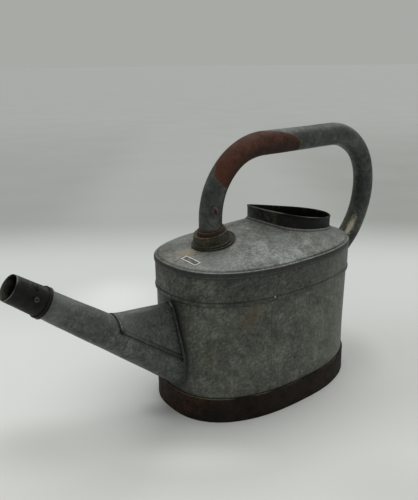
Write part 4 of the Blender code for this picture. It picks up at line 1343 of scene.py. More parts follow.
def make_spout_solder():
    """A lumpy fillet of solder round the spout and gusset, where they meet the wall."""
    turns = circle(220)
    near_edge = GUSSET_EDGE_TURN
    far_edge = math.pi - GUSSET_EDGE_TURN
    signed = np.where(turns > 1.5 * math.pi, turns - 2.0 * math.pi, turns)
    over = np.clip(signed, near_edge, far_edge)
    outside = np.abs(signed - over)
    on_gusset = 1.0 - eased(outside, 0.0, math.radians(9.0))
    width = SOLDER_WIDTH * around_ring(turns, 0.16, 81, 0.14)

    def corner(out, lift):
        def at(along):
            carrier = spout_radius(along)
            raised = gusset_distance(along, over, 0.0) + SEAM_DEPTH
            return round_spout(along, turns, carrier + (raised - carrier) * on_gusset + out)

        start = GUSSET_FRONT + GUSSET_FRONT_SWEEP
        return at(to_wall(at, turns, WALL_OUTSIDE + lift, start))

    profile = [(0.02, 0.02), (1.0, 0.02), (0.92, 0.20), (0.62, 0.42), (0.40, 0.62), (0.18, 0.92), (0.02, 1.0)]
    rings = [corner(width * out, THIN_GAP + width * lift) for out, lift in profile]
    points = np.array(rings).reshape(-1, 3)
    shine = np.clip(ripple(points, 0.012, 82), 0.0, 1.0)
    painted = {"soot_and_shade": np.full(len(points), 0.58), "wear_and_highlight": 0.10 * shine}
    shell("spout_joint_solder", rings, painted, SOLDER, "solder", "spout_solder", smooth=80.0)


TAB_FOOT = np.array((-0.1644, -0.0098, 0.1655))
TAB_TIP = np.array((-0.1630, -0.0024, 0.1714))
TAB_ACROSS = np.array((0.0, -0.62, -0.78))
TAB_HALF_WIDTH = 0.0026
TAB_HALF_DEPTH = 0.0013
TAB_ROWS = 12


def make_tab():
    """The pinched end of the gusset's ridge, bent up against the wall."""
    angles = circle(20)
    out = np.array((-1.0, 0.0, 0.0))
    rings = []
    for i in range(TAB_ROWS + 1):
        share = i / TAB_ROWS
        fat = math.sin(math.pi * min(max(share, 0.04), 0.96)) ** 0.6
        centre = TAB_FOOT + (TAB_TIP - TAB_FOOT) * share
        fold = 1.0 + 0.35 * np.cos(3.0 * angles)
        wide = TAB_HALF_WIDTH * fat * np.cos(angles) * fold
        deep = TAB_HALF_DEPTH * fat * np.sin(angles)
        rings.append(centre + TAB_ACROSS * wide[:, None] + out * deep[:, None])
    side = np.tile(np.cos(angles), len(rings))
    # Painted highlight: the whole tab is lightened, most strongly away from one edge.
    painted = {"wear_and_highlight": eased(side, -0.9, -0.3), "pale": np.ones(len(side))}
    shell("gusset_pinched_tab", rings, painted, SOLDER, "solder", wrap=False, smooth=60.0)


# Handle

QUARTER = math.pi / 2.0
PATH_STEP = 0.0022
TOP_SAG = 0.0026
SEAM_TURN = 0.0014 / REAR_BEND


def traced(start, heading, moves):
    """Points, headings and run along straight and bent lengths, bends turning clockwise."""
    x, z = start
    path = [(x, z, heading)]
    for kind, size, turn in moves:
        length = size if kind == "line" else size * turn
        steps = max(2, round(length / PATH_STEP))
        begin = heading
        first_x, first_z = x, z
        for i in range(1, steps + 1):
            share = i / steps
            if kind == "line":
                x = first_x + math.cos(begin) * size * share
                z = first_z + math.sin(begin) * size * share
            else:
                heading = begin - turn * share
                x = first_x + size * (math.sin(begin) - math.sin(heading))
                z = first_z + size * (math.cos(heading) - math.cos(begin))
            path.append((x, z, heading))
    return np.array(path)


LEG_FOOT = BODY_HEIGHT + PLATE_SHOULDER + PLATE_CROWN * 0.4
FRONT_PATH = traced((LEG_X, LEG_FOOT), QUARTER, [
    ("line", BEND_START_HEIGHT - LEG_FOOT, 0.0),
    ("arc", FRONT_BEND, QUARTER - TOP_RISE),
    ("line", TOP_LENGTH, 0.0),
    ("arc", REAR_BEND, JOINT_TURN),
])
REAR_PATH = traced(FRONT_PATH[-1][:2], FRONT_PATH[-1][2], [
    ("arc", REAR_BEND, SEAM_TURN),
    ("arc", REAR_BEND, QUARTER + TOP_RISE - JOINT_TURN - SEAM_TURN),
    ("arc", FOOT_BEND, FOOT_TURN),
])
PATCH_EDGE = (
    (0.1050, -106.0), (0.0965, -84.0), (0.0885, -66.0), (0.0845, -40.0), (0.0820, -10.0), (0.0812, 28.0),
    (0.0850, 75.0), (0.0980, 118.0), (0.1500, 136.0), (0.2050, 136.0), (0.2450, 108.0), (0.2530, 72.0),
    (0.2532, 42.0), (0.2490, 6.0), (0.2410, -22.0), (0.2270, -44.0), (0.2110, -62.0), (0.1970, -76.0),
    (0.1850, -88.0), (0.1740, -104.0), (0.1400, -110.0),
)


def run_along(path):
    steps = np.linalg.norm(np.diff(path[:, :2], axis=0), axis=1)
    return np.concatenate([[0.0], np.cumsum(steps)])


HANDLE_JOINT = run_along(FRONT_PATH)[-1]


def round_tube(path, turns, radius):
    """Rings round a path; turn 0 is the outer side of the bends, a quarter turn the near side."""
    heading = path[:, 2][:, None, None]
    out = np.concatenate([-np.sin(heading), 0.0 * heading, np.cos(heading)], axis=2)
    centre = np.column_stack([path[:, 0], np.zeros(len(path)), path[:, 1]])[:, None, :]
    cos = np.cos(turns)[None, :, None]
    sin = np.sin(turns)[None, :, None]
    return centre + (out * cos + NEAR * sin) * np.asarray(radius)


def inside_patch(run, angle):
    """How far points on the tube lie inside the rust patch's edge, in metres."""
    scale = math.radians(1.0) * HANDLE_RADIUS
    corners = np.array([(s, a * scale) for s, a in PATCH_EDGE])
    points = np.stack([run, angle * scale], axis=-1).reshape(-1, 2)
    nearest = np.full(len(points), 1.0)
    crossings = np.zeros(len(points), int)
    for first, second in zip(corners, np.roll(corners, -1, axis=0)):
        edge = second - first
        share = np.clip((points - first) @ edge / (edge @ edge), 0.0, 1.0)
        nearest = np.minimum(nearest, np.linalg.norm(points - first - share[:, None] * edge, axis=1))
        spans = (first[1] > points[:, 1]) != (second[1] > points[:, 1])
        rise = second[1] - first[1] if second[1] != first[1] else 1e-9
        cross_at = first[0] + (points[:, 1] - first[1]) / rise * edge[0]
        crossings += (spans & (points[:, 0] < cross_at)).astype(int)
    return np.where(crossings % 2 == 1, nearest, -nearest).reshape(run.shape)


def tube_look():
    """Blue-grey zinc with a patch of brown rust, whose flaky edge stands a little proud, and with painted
    shade and painted highlights where the mesh asks.
    """
    look = Finish("handle_zinc", 0.35)
    clouds = look.noise(0.045, 5.0, 0.6)
    blotches = look.noise(0.012, 5.0, 0.65, 0.6)
    flecks = look.noise(0.0036, 3.0, 0.6)
    crust = look.noise(0.0022, 4.0, 0.7)
    tone = look.sum_of((clouds, 0.40), (blotches, 0.36), (flecks, 0.24))
    base = look.mix(look.step(tone, 0.39, 0.51), colour(40, 44, 42), colour(60, 64, 61))
    base = look.mix(look.step(tone, 0.49, 0.63), base, colour(88, 92, 88))
    stain = ((blotches, 0.9), (clouds, 0.5), (1.0, -0.95))
    base = look.layer(base, BROWN_STAIN, "stain", 0.05, 0.75, 0.75, *stain)
    # Painted shade on the tube's lower side and down the leg, and darker at the feet.
    base = look.layer(base, SOOT_AND_SHADE_COLOUR, "soot_and_shade", 0.10, 0.95, 0.92, (blotches, 0.5), (1.0, -0.25))
    # Painted highlights: cream shines along the tube, and a light line at its joint.
    base = look.layer(base, CREAM_SHINE_AND_WEAR, "wear_and_highlight", 0.25, 0.9, 1.0, (flecks, 0.9), (1.0, -0.45))

    patch = look.sum_of((look.painted("patch"), 1.0), (blotches, 0.0060), (crust, 0.0100), (1.0, -0.0080))
    inside = look.step(patch, -0.0003, 0.0004)
    rust_tone = look.sum_of((clouds, 0.26), (blotches, 0.36), (crust, 0.38))
    rust = look.mix(look.step(rust_tone, 0.38, 0.52), RUST_DARK, RUST_MIDDLE)
    rust = look.mix(look.step(rust_tone, 0.51, 0.66, 0.0, 0.8), rust, RUST_LIGHT)
    rust = look.mix(look.times(look.painted("redness"), 0.5), rust, colour(80, 43, 31))
    rust = look.layer(rust, colour(44, 36, 32), "shade", 0.1, 1.0, 0.75)
    rim = look.times(look.step(patch, 0.0022, 0.0004), 0.55)
    base = look.mix(inside, base, look.mix(rim, rust, colour(98, 66, 46)))
    line_out = look.times(look.step(patch, -0.0014, -0.0002), look.step(patch, 0.0004, -0.0002))
    base = look.mix(look.times(line_out, 0.65), base, colour(100, 92, 78))

    look.shade("Metallic", look.step(inside, 0.0, 1.0, 0.35, 0.0))
    look.shade("Specular IOR Level", look.step(inside, 0.0, 1.0, 0.45, 0.18))
    roughness = look.sum_of((look.step(tone, 0.3, 0.7, 0.60, 0.42), 1.0), (inside, 0.22))
    height = look.sum_of((blotches, 0.30), (flecks, 0.18), (look.times(inside, crust), 0.7), (inside, 0.35))
    return look.close(base, roughness, height, 0.0006)


HANDLE_ZINC = tube_look()
SLOT_SPOT = (LEG_X - 0.004, -0.016, RIVET_HEIGHT, 0.0105, 0.80)

# Highlights on the tube: run along it, angle round it, both reaches in metres, and the strength.
HANDLE_SHINES = (
    (0.570, 55.0, 0.014, 0.0034, 0.80), (0.560, 55.0, 0.030, 0.0085, 0.62),
    (0.352, 62.0, 0.010, 0.0040, 0.55), (0.388, 84.0, 0.017, 0.0040, 0.34),
)


def handle_paint(points, run, turns):
    """Rust patch, sooty dirt, worn lines, painted shade and painted highlights on the handle's outside."""
    angle = (np.degrees(turns) + 90.0) % 360.0 - 180.0
    run, angle = np.broadcast_arrays(run[:, None], angle[None, :])

    def across(middle):
        return np.radians((angle - middle + 180.0) % 360.0 - 180.0) * HANDLE_RADIUS

    # Painted highlights: the shines listed above, and a light line at the tube joint.
    wear_and_highlight = 0.60 * np.exp(-np.abs(run - HANDLE_JOINT - 0.0006) / 0.0005)
    for at_run, at_angle, reach_run, reach_across, strength in HANDLE_SHINES:
        wear_and_highlight += strength * hump(run, at_run, reach_run) * hump(across(at_angle), 0.0, reach_across)
    foot = fading(points[..., 2], 0.2595, 0.003) * (points[..., 0] < 0.0)
    wall_end = fading(-points[..., 0], -BODY_LENGTH / 2.0 - 0.006, 0.004)
    rear_foot = wall_end * (points[..., 0] > 0.1) * (points[..., 2] < 0.2)
    lower = eased(angle, 20.0, 100.0)
    leg = eased(run, 0.44, 0.47)
    # Painted shade on the tube's lower side and in a dark line down the leg; darker also at the feet and
    # round the eyelet.
    soot_and_shade = 0.70 * foot + 0.25 * lower * (1.0 - leg) + 0.22 * hump(across(-22.0), 0.0, 0.006) * leg
    return {
        "patch": inside_patch(run, angle),
        "shade": eased(angle, -45.0, 45.0),
        "redness": hump(run, 0.098, 0.026),
        "soot_and_shade": soot_and_shade + near_spots(points, (SLOT_SPOT,)) + 0.6 * rear_foot,
        "wear_and_highlight": wear_and_highlight,
        "stain": 0.60 * foot + 0.35 * lower + 0.3 * eased(run, 0.40, 0.62),
    }


def tube_paint(outer, run, turns, ring_count):
    """The handle's paint on its outer rings, and none on the rings inside it."""
    painted = {}
    for key, values in handle_paint(outer, run, turns).items():
        rest = np.full((ring_count - len(outer), len(turns)), -1.0 if key == "patch" else 0.0)
        painted[key] = np.concatenate([np.broadcast_to(values, outer.shape[:2]), rest])
    return painted


LONGEST_FOOT = 0.12
FOOT_RUN = 0.03
FOOT_ROWS = 12


def make_handle():
    turns = circle(TUBE_STEPS)
    bore = HANDLE_RADIUS - SHEET
    swage = bore - GAP
    run = run_along(FRONT_PATH)

    def dented(path, radius, sag=None):
        rings = round_tube(path, turns, radius)
        centre = round_tube(path, turns, 0.0)
        soft = HANDLE_DENT * swell(rings, 0.028, 91)
        rings = rings - (rings - centre) / radius * soft[..., None]
        if sag is not None:
            inner_side = round_tube(path, np.array([math.pi]), 1.0) - round_tube(path, np.zeros(1), 0.0)
            rings = rings + inner_side * (sag[:, None] * (0.5 - 0.5 * np.cos(turns))[None, :])[..., None]
        return rings

    sag = TOP_SAG * eased(run, 0.12, 0.18) * eased(run, HANDLE_JOINT - 0.02, HANDLE_JOINT - 0.08)
    outer = dented(FRONT_PATH, HANDLE_RADIUS, sag)
    outer[0, :, 2] = plate_height(outer[0, :, 0], outer[0, :, 1]) + GAP
    end = FRONT_PATH[-1:]
    swage_path = REAR_PATH[:10]
    inner = round_tube(FRONT_PATH[::6], turns, bore)
    inner[0] += outer[0] - round_tube(FRONT_PATH[:1], turns, HANDLE_RADIUS)[0]
    chamfer = round_tube(end, turns, HANDLE_RADIUS - 0.0004)
    rings = np.concatenate([
        outer[:-1], chamfer, round_tube(end, turns, swage), round_tube(swage_path[1:], turns, swage),
        round_tube(swage_path[::-1], turns, swage - SHEET), inner[::-1],
    ])
    painted = tube_paint(outer, run, turns, len(rings))
    shell("handle_long_tube", rings, painted, HANDLE_ZINC, "zinc_tube", "handle_front_tube")

    path = REAR_PATH.copy()
    path[0, 0] += math.cos(path[0, 2]) * GAP
    path[0, 1] += math.sin(path[0, 2]) * GAP
    last = path[-1:]
    ahead = np.array((math.cos(last[0, 2]), 0.0, math.sin(last[0, 2])))

    def foot(radius, lift):
        """Where the leg's last ring starts, and where it meets the wall going straight on."""
        start = round_tube(last, turns, radius)[0]

        def outside(distance):
            points = start + ahead * distance[:, None]
            return ~in_oval(points[:, 0], points[:, 1], WALL_OUTSIDE + lift)

        distance = solve(outside, np.zeros(len(turns)), np.full(len(turns), LONGEST_FOOT))
        return start, start + ahead * distance[:, None]

    outer_start, outer_end = foot(HANDLE_RADIUS, GAP)
    inner_start, inner_end = foot(bore, GAP)
    foot_shares = np.linspace(0.1, 1.0, FOOT_ROWS)
    to_foot = [outer_start + (outer_end - outer_start) * share for share in foot_shares]
    from_foot = [inner_end, (inner_start + inner_end) / 2.0]
    outer = np.concatenate([dented(path, HANDLE_RADIUS), to_foot])
    outer[0] += (round_tube(path[:1], turns, 0.0)[0] - outer[0]) * 0.02
    inner = round_tube(path[::-6], turns, bore)
    rings = np.concatenate([outer, from_foot, inner, round_tube(path[:1], turns, bore)])
    rear_run = run[-1] + run_along(path)
    rear_run = np.concatenate([rear_run, rear_run[-1] + foot_shares * FOOT_RUN])
    painted = tube_paint(outer, rear_run, turns, len(rings))
    shell("handle_rear_leg", rings, painted, HANDLE_ZINC, "zinc_tube", "handle_rear_tube")

    width = SOLDER_WIDTH * around_ring(turns, 0.2, 92, 0.14)
    profile = [(0.02, 0.02), (1.0, 0.02), (0.90, 0.22), (0.60, 0.42), (0.40, 0.64), (0.18, 0.92), (0.02, 1.0)]
    rings = []
    for out, lift in profile:
        radius = HANDLE_RADIUS + THIN_GAP + width * out
        rings.append(foot(radius[:, None], THIN_GAP + width * lift)[1])
    points = np.array(rings).reshape(-1, 3)
    painted = {"soot_and_shade": np.full(len(points), 0.45), "wear_and_highlight": 0.2 * np.clip(ripple(points, 0.010, 93), 0.0, 1.0)}
    shell("handle_foot_solder", rings, painted, SOLDER, "solder", "handle_solder", smooth=80.0)


# Collar, eyelet and label

COLLAR_TILT = math.atan(PLATE_CROWN / (PEAK_X + BODY_LENGTH / 2.0 + RIM_OUTSIDE))
COLLAR_AXIS = np.array((-math.sin(COLLAR_TILT), 0.0, math.cos(COLLAR_TILT)))
COLLAR_SIDE = np.array((math.cos(COLLAR_TILT), 0.0, math.sin(COLLAR_TILT)))


def collar_centre(height):
    foot = float(plate_height(np.array([COLLAR_X]), np.array([0.0]))[0])
    return np.array((COLLAR_X, 0.0, foot)) + COLLAR_AXIS * height


def collar_circle(radius, height, ahead=0.0):
    turns = circle(TUBE_STEPS * 2)
    out = COLLAR_SIDE * np.cos(turns)[:, None] - NEAR * np.sin(turns)[:, None]
    return collar_centre(height) + out * radius - COLLAR_SIDE * ahead


def bore_circle(height, radius=BORE_RADIUS):
    """A ring round the upright leg, in the plane of a collar ring."""
    turns = circle(TUBE_STEPS * 2)
    centre = collar_centre(height)
    x = LEG_X + radius * np.cos(turns)
    y = radius * np.sin(turns)
    return np.column_stack([x, y, centre[2] + (x - centre[0]) * math.tan(COLLAR_TILT)])


def settled(ring, lift):
    """The same ring dropped onto the plate, a given height above it."""
    return np.column_stack([ring[:, :2], plate_height(ring[:, 0], ring[:, 1]) + lift])


def collar_rings(profile):
    """Collar rings that follow the plate at their foot and are flat higher up."""
    rings = []
    for radius, height in profile:
        flat = collar_circle(radius, height, CUP_AHEAD)
        on = settled(collar_circle(radius, 0.0, CUP_AHEAD), height)
        share = eased(height, 0.004, 0.010)
        rings.append(on + (flat - on) * share)
    return rings


def make_collar():
    top = GAP + FLANGE_THICKNESS
    wide = FLANGE_RADIUS
    profile = [(wide - 0.0008, GAP), (wide - 0.0002, GAP + 0.0004), (wide, GAP + 0.0011)]
    profile += [(wide - 0.0004, top - 0.0003), (wide - 0.0011, top), (wide - 0.0019, top - 0.0002)]
    profile += [(wide - 0.0026, top - 0.0009)]
    profile += [(wide - 0.0036, top - 0.0011), (CUP_FOOT_RADIUS - 0.0005, top - 0.0009)]
    rings = [settled(collar_circle(radius, 0.0), height) for radius, height in profile]
    rings.append(settled(bore_circle(0.0), top - 0.0009))
    rings.append(settled(bore_circle(0.0), GAP))
    points = np.array(rings).reshape(-1, 3)
    size = len(rings[0])
    ridge = np.repeat([0.0, 0.2, 0.5, 0.8, 1.0, 0.6, 0.0, 0.0, 0.0, 0.0, 0.0], size)
    crease = np.repeat([1.0, 0.6, 0.2, 0.0, 0.0, 0.0, 0.7, 0.9, 1.0, 1.0, 1.0], size)
    patch = patches(points, 0.012, 101, 0.6, 0.4, 0.1)
    front = eased(-points[:, 0], 0.085, 0.115)
    # Painted shade in the creases at the flange's foot and at its step up to the cup.
    painted = {"wear_and_highlight": 0.50 * ridge * patch, "soot_and_shade": 0.65 * crease, "rust": 0.35 * front + 0.10 * patch}
    shell("collar_base_flange", rings, painted, COLLAR_METAL, "stained_collar", "collar_flange", smooth=60.0)

    foot = top - 0.0006
    wide = CUP_FOOT_RADIUS
    high = CUP_HEIGHT
    slim = CUP_TOP_RADIUS
    profile = [(wide - 0.0006, foot), (wide, foot + 0.0005), (wide, foot + 0.0014)]
    profile += [(wide - 0.0006, foot + 0.0021), (wide - 0.0014, foot + 0.0026)]
    profile += [(wide - 0.0016, foot + 0.0040), (wide - 0.0018, 0.0080)]
    profile += [(wide - 0.0022, 0.0105), (slim + 0.0006, 0.0130)]
    profile += [(slim + 0.0002, 0.0146), (slim + 0.0002, high - 0.0014), (slim - 0.0001, high - 0.0006)]
    profile += [(slim - 0.0008, high - 0.0001), (slim - 0.0018, high - 0.0003)]
    rings = collar_rings(profile)
    rings.append(bore_circle(high - 0.0010, BORE_RADIUS + 0.0012))
    rings += [bore_circle(high - 0.0014), bore_circle(high - 0.0014 - CUP_WALL)]
    inner = [(slim - 0.0004, high - 0.0016 - CUP_WALL), (wide - 0.0018, 0.0080), (wide - 0.0006, foot)]
    rings += collar_rings([(radius - CUP_WALL, height) for radius, height in inner])
    points = np.array(rings).reshape(-1, 3)
    ridge = [0.0, 0.6, 0.8, 0.3] + [0.0] * 5 + [0.2, 0.8, 1.0, 1.0, 0.5] + [0.0] * 6
    crease = [0.9, 0.3, 0.0, 0.3, 0.8, 0.4, 0.2] + [0.1] * 4 + [0.0, 0.0, 0.2] + [0.8] * 6
    rusty = [0.3, 0.2, 0.1, 0.1] + [0.05] * 5 + [0.1, 0.1, 0.2, 0.35, 0.6] + [1.0] * 6
    patch = patches(points, 0.012, 102, 0.6, 0.4, 0.1)
    front = eased(-points[:, 0], 0.088, 0.108)
    # Painted shade in the cup's creases and inside it.
    painted = {
        "wear_and_highlight": 0.62 * np.repeat(ridge, size) * (0.3 + 0.7 * patch),
        "soot_and_shade": 0.50 * np.repeat(crease, size),
        "rust": 0.75 * np.repeat(rusty, size) + 0.25 * front,
        "stain": 0.35 * patch + 0.2 * front,
    }
    shell("collar_turned_cup", rings, painted, COLLAR_METAL, "stained_collar", "collar_cup", smooth=60.0)

    low = CUP_HEIGHT - 0.0006
    tall = RING_HEIGHT
    wide = RING_RADIUS
    rings = [bore_circle(low)]
    outline = [(-0.0002, 0.0), (0.0, 0.0010), (-0.0004, 0.0017), (-0.0010, 0.0022), (-0.0010, 0.0028)]
    outline += [(-0.0006, 0.0034), (-0.0007, 0.0042), (-0.0014, tall - 0.0002), (-0.0022, tall)]
    for out, rise in outline:
        share = eased(np.array(rise), 0.0, tall)
        on_cup = collar_circle(wide + out, low + rise)
        rings.append(on_cup * (1.0 - share) + bore_circle(low + rise, wide + out) * share)
    rings.append(bore_circle(low + tall))
    points = np.array(rings).reshape(-1, 3)
    painted = {
        "rust": np.full(len(points), 0.75),
        "soot_and_shade": 0.60 * np.repeat([1.0, 1.0, 0.6, 0.7, 1.0, 1.0, 0.6, 0.2, 0.1, 0.3, 0.8], size),
    }
    shell("collar_rust_ring", rings, painted, COLLAR_METAL, "stained_collar", "collar_ring", smooth=60.0)


def make_rivet():
    """An oval eyelet that follows the round of the leg, its slot and foot darkened as painted shade."""
    out = np.array((-math.sin(RIVET_TURN), -math.cos(RIVET_TURN), 0.0))
    side = np.array((-out[1], out[0], 0.0))
    centre = np.array((LEG_X, 0.0, RIVET_HEIGHT))
    turns = circle(48)

    def ring(length, width, lift):
        long_way = length / 2.0 * np.cos(turns)
        short_way = width / 2.0 * np.sin(turns)
        across = -long_way * math.sin(RIVET_LEAN) + short_way * math.cos(RIVET_LEAN)
        up = long_way * math.cos(RIVET_LEAN) + short_way * math.sin(RIVET_LEAN)
        rise = np.sqrt(HANDLE_RADIUS ** 2 - across ** 2) + lift
        return centre + out * rise[:, None] + side * across[:, None] + np.outer(up, (0.0, 0.0, 1.0))

    low = -0.0002
    high = GAP + RIVET_THICKNESS
    length_gap = RIVET_LENGTH - RIVET_SLOT_LENGTH
    width_gap = RIVET_WIDTH - RIVET_SLOT_WIDTH
    profile = [(1.0, low), (1.0, 0.25 * high), (0.94, 0.70 * high), (0.80, 0.95 * high), (0.60, high)]
    profile += [(0.35, 0.92 * high), (0.15, 0.70 * high), (0.03, 0.35 * high), (0.0, 0.10 * high)]
    profile += [(-0.30, 0.05 * high)]
    rings = []
    for share, lift in profile:
        rings.append(ring(RIVET_SLOT_LENGTH + length_gap * share, RIVET_SLOT_WIDTH + width_gap * share, lift))
    points = np.array(rings).reshape(-1, 3)
    # Painted shade: dark in the slot and at the foot, light on the rim between.
    soot_and_shade = np.repeat([0.9, 0.5, 0.1, 0.0, 0.0, 0.0, 0.3, 0.9, 1.2, 1.2], len(turns))
    painted = {"soot_and_shade": soot_and_shade, "rust": np.full(len(points), 0.15)}
    shell(
        "handle_eyelet", rings, painted, EYELET_METAL, "stained_collar", "handle_rivet",
        wrap=False, smooth=60.0
    )


def make_label():
    """A thin blank label that follows the plate."""
    columns = 30
    rows = 12
    half = LABEL_WIDTH / 2.0
    rings = []
    edge = []
    for i in range(columns + 1):
        share = i / columns
        y = LABEL_Y + LABEL_LENGTH * (share - 0.5)
        skew = 0.0010 * (share - 0.5)
        x = LABEL_X + skew + np.linspace(-half, half, rows + 1)
        ys = np.full(rows + 1, y)
        curl = 0.0002 * eased(abs(share - 0.5), 0.42, 0.5)
        top = np.column_stack([x, ys, plate_height(x, ys) + GAP + LABEL_THICKNESS * 0.6 + curl])
        under = np.column_stack([x, ys, plate_height(x, ys) + THIN_GAP])
        rings.append(np.concatenate([top, under[::-1]]))
        from_side = np.minimum(x - x[0], x[-1] - x)
        from_end = min(share, 1.0 - share) * LABEL_LENGTH
        border = 1.0 - eased(np.minimum(from_side, from_end), 0.0008, 0.0016)
        edge.append(np.concatenate([border, np.zeros(rows + 1)]))
    shell("plain_label", rings, {"edge": np.array(edge)}, LABEL_PAPER, "label", "blank_label", wrap=False)


DROP_PROFILE = ((1.0, -0.15), (1.0, 0.10), (0.85, 0.32), (0.6, 0.46), (0.3, 0.54), (0.08, 0.56))
DROPS = (
    ("drop_under_neck", (0.0310, -0.0445, 0.0), 0.0016, "plate"),
    ("drop_on_seam", (-0.0576, 0.0, BAND_BOTTOM + 0.0055), 0.0022, "band"),
    ("drop_on_wall", (-0.0001, 0.0, 0.0480), 0.0018, "wall"),
    ("drop_on_rim_near", (0.1450, -0.0610, 0.0), 0.0018, "rim"),
    ("drop_on_rim_far", (0.1545, -0.0380, 0.0), 0.0016, "rim"),
)


def make_drops():
    """Drops of solder: under the neck's ledge, at the lap seam's head and along the rim."""
    angles = circle(20)
    for name, (x, y, z), radius, carrier in DROPS:
        if carrier in ("plate", "rim"):
            z = float(plate_height(np.array([x]), np.array([y]))[0])
            centre = np.array((x, y, z))
            out = np.array((0.0, 0.0, 1.0))
            side = np.array((1.0, 0.0, 0.0))
        else:
            centre = on_near_wall(x, z, WALL_OUTSIDE if carrier == "wall" else 0.0)
            out = outward(centre)
            centre = centre - out * wall_dents(centre)
            side = np.array((0.0, 0.0, 1.0))
        other = np.cross(out, side)
        rings = []
        for share, height in DROP_PROFILE:
            wobble = 1.0 + 0.15 * np.sin(2.0 * angles + x * 90.0) + 0.08 * np.sin(3.0 * angles)
            wide = radius * share * wobble
            around = side * (wide * np.cos(angles))[:, None] + other * (wide * np.sin(angles))[:, None]
            rings.append(centre + around + out * radius * height)
        # Painted highlight: each drop grows paler towards its top.
        heights = np.repeat([0.0, 0.1, 0.3, 0.6, 1.0, 1.0], len(angles))
        shell(name, rings, {"wear_and_highlight": 0.30 + 0.65 * heights}, SOLDER, "solder", wrap=False, smooth=80.0)


# Stage, light and camera

def view_turn():
    """The camera's right, up and backward directions, as a matrix."""
    az, el, roll = CAMERA_AZIMUTH, CAMERA_ELEVATION, CAMERA_ROLL
    back = Vector((math.sin(az) * math.cos(el), -math.cos(az) * math.cos(el), math.sin(el)))
    right = Vector((math.cos(az), math.sin(az), 0.0))
    up = back.cross(right)
    turned_right = right * math.cos(roll) + up * math.sin(roll)
    turned_up = up * math.cos(roll) - right * math.sin(roll)
    return Matrix((turned_right, turned_up, back)).transposed().to_4x4()


def make_camera():
    data = bpy.data.cameras.new("camera")
    data.lens = CAMERA_LENS
    data.sensor_width = CAMERA_SENSOR
    data.sensor_fit = "AUTO"
    data.clip_start = 0.01
    data.clip_end = FLOOR_SIZE * 2.0
    camera = placed("camera", data)
    camera.matrix_world = Matrix.Translation(CAMERA_PLACE) @ view_turn()
    bpy.context.scene.camera = camera


BACKDROP = colour(168, 170, 166)

# Painted soft shadows and pools of light on the floor: depth and aside from the can, both reaches, and the
# gain.
FLOOR_PAINTED_SHADOWS_AND_LIGHT = (
    (-0.215, -0.09, 0.045, 0.13, 0.16), (-0.185, -0.31, 0.085, 0.13, -0.13),
    (0.32, -0.27, 0.18, 0.16, 0.22), (0.08, 0.170, 0.13, 0.075, -0.18),
    (-0.105, -0.14, 0.030, 0.045, -0.26), (-0.29, 0.17, 0.10, 0.14, -0.10),
)


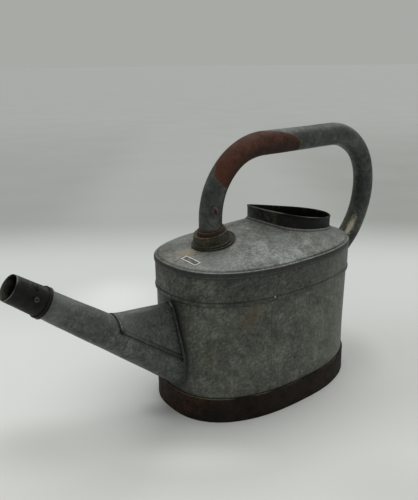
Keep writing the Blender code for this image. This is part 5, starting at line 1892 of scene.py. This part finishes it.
def floor_look():
    """A pale floor with painted shade: darker behind the can like a paper sweep's shading, lighter near and
    to the left, with painted soft shadows and pools of light round the can.
    """
    look = Finish("pale_floor", 0.0, 0.2)
    ahead = Vector((-math.sin(CAMERA_AZIMUTH), math.cos(CAMERA_AZIMUTH), 0.0))
    across = Vector((math.cos(CAMERA_AZIMUTH), math.sin(CAMERA_AZIMUTH), 0.0))
    centre = Vector((MIDDLE_X, 0.0, 0.0))

    def measured(direction):
        along = look.node("VectorMath", (look.place, direction), operation="DOT_PRODUCT")
        return look.sum_of((along.outputs["Value"], 1.0), (1.0, -centre.dot(direction)))

    depth = measured(ahead)
    aside = measured(across)
    grain = look.noise(0.35, 3.0)
    base = look.mix(look.step(aside, -0.45, 0.45), colour(221, 223, 219), colour(200, 201, 196))
    base = look.mix(look.step(depth, -0.04, -0.26, 0.0, 0.9), base, colour(220, 221, 216))
    base = look.mix(look.step(depth, 0.10, 0.34), base, colour(208, 211, 207))
    away = depth
    for side, sign in ((aside, 1.0), (aside, -1.0), (depth, -1.0)):
        away = look.most(away, look.sum_of((side, sign), (1.0, -FLOOR_NEAR)))
    far = look.mix(look.step(aside, -0.35, -0.70), colour(170, 172, 168), colour(158, 160, 156))
    far = look.mix(look.step(aside, 0.15, 0.55), far, colour(152, 155, 149))
    base = look.mix(look.step(away, 0.50, 1.00), base, far)
    base = look.mix(look.step(away, 1.0, 5.0), base, BACKDROP)
    base = look.mix(look.step(grain, 0.3, 0.7, 0.0, 0.03), base, colour(225, 225, 222))
    gains = [(1.0, 1.0)]
    for at_depth, at_aside, reach_depth, reach_aside, gain in FLOOR_PAINTED_SHADOWS_AND_LIGHT:
        corner = look.node("CombineXYZ", (
            look.sum_of((depth, 1.0 / reach_depth), (1.0, -at_depth / reach_depth)),
            look.sum_of((aside, 1.0 / reach_aside), (1.0, -at_aside / reach_aside)),
        ))
        nearness = look.node("VectorMath", (corner.outputs[0],), operation="LENGTH").outputs["Value"]
        gains.append((look.step(nearness, 1.0, 0.0), gain))
    lit = look.node("VectorMath", {0: base, "Scale": look.sum_of(*gains)}, operation="SCALE")
    return look.close(lit.outputs["Vector"], look.step(grain, 0.3, 0.7, 0.80, 0.72), grain, 0.0002)


def make_stage():
    half = FLOOR_SIZE / 2.0
    corners = [(x * half, y * half, 0.0) for x, y in ((-1, -1), (1, -1), (1, 1), (-1, 1))]
    mesh = bpy.data.meshes.new("floor")
    mesh.from_pydata(corners, [], [(0, 1, 2, 3)])
    mesh.materials.append(floor_look())
    placed("floor", mesh)


def make_light():
    sun = bpy.data.lights.new("soft_top_light", "SUN")
    sun.energy = SUN_STRENGTH
    sun.angle = SUN_SOFTNESS
    lamp = placed("soft_top_light", sun)
    lamp.rotation_euler = SUN_TOWARDS.to_track_quat("Z", "Y").to_euler()

    world = bpy.data.worlds.new("studio")
    world.use_nodes = True
    bpy.context.scene.world = world
    tree = world.node_tree
    tree.nodes.clear()
    rays = add_node(tree, "LightPath").outputs
    seen = add_node(tree, "Math", (rays["Is Camera Ray"], rays["Is Glossy Ray"]), operation="MAXIMUM")
    seen = add_node(tree, "Math", (seen.outputs[0], rays["Is Transmission Ray"]), operation="MAXIMUM")
    ambient = add_node(tree, "Background", (AMBIENT_TINT, AMBIENT))
    backdrop = add_node(tree, "Background", (BACKDROP, 1.0))
    light = add_node(tree, "MixShader", (seen.outputs[0], ambient.outputs[0], backdrop.outputs[0]))
    add_node(tree, "OutputWorld", (light.outputs[0],))


def main():
    bpy.context.scene.view_settings.view_transform = "Standard"
    make_camera()
    make_stage()
    make_light()
    make_wall()
    make_band()
    make_lap_seam()
    make_hoop()
    make_pan()
    make_plate()
    make_neck()
    make_spout()
    make_socket()
    make_stud("sleeve_stud_side", "rose_stud_side", SIDE_STUD, 0.55)
    make_stud("sleeve_stud_top", "rose_stud_top", TOP_STUD, 0.10)
    make_gusset()
    make_spout_solder()
    make_tab()
    make_handle()
    make_collar()
    make_rivet()
    make_label()
    make_drops()


main()
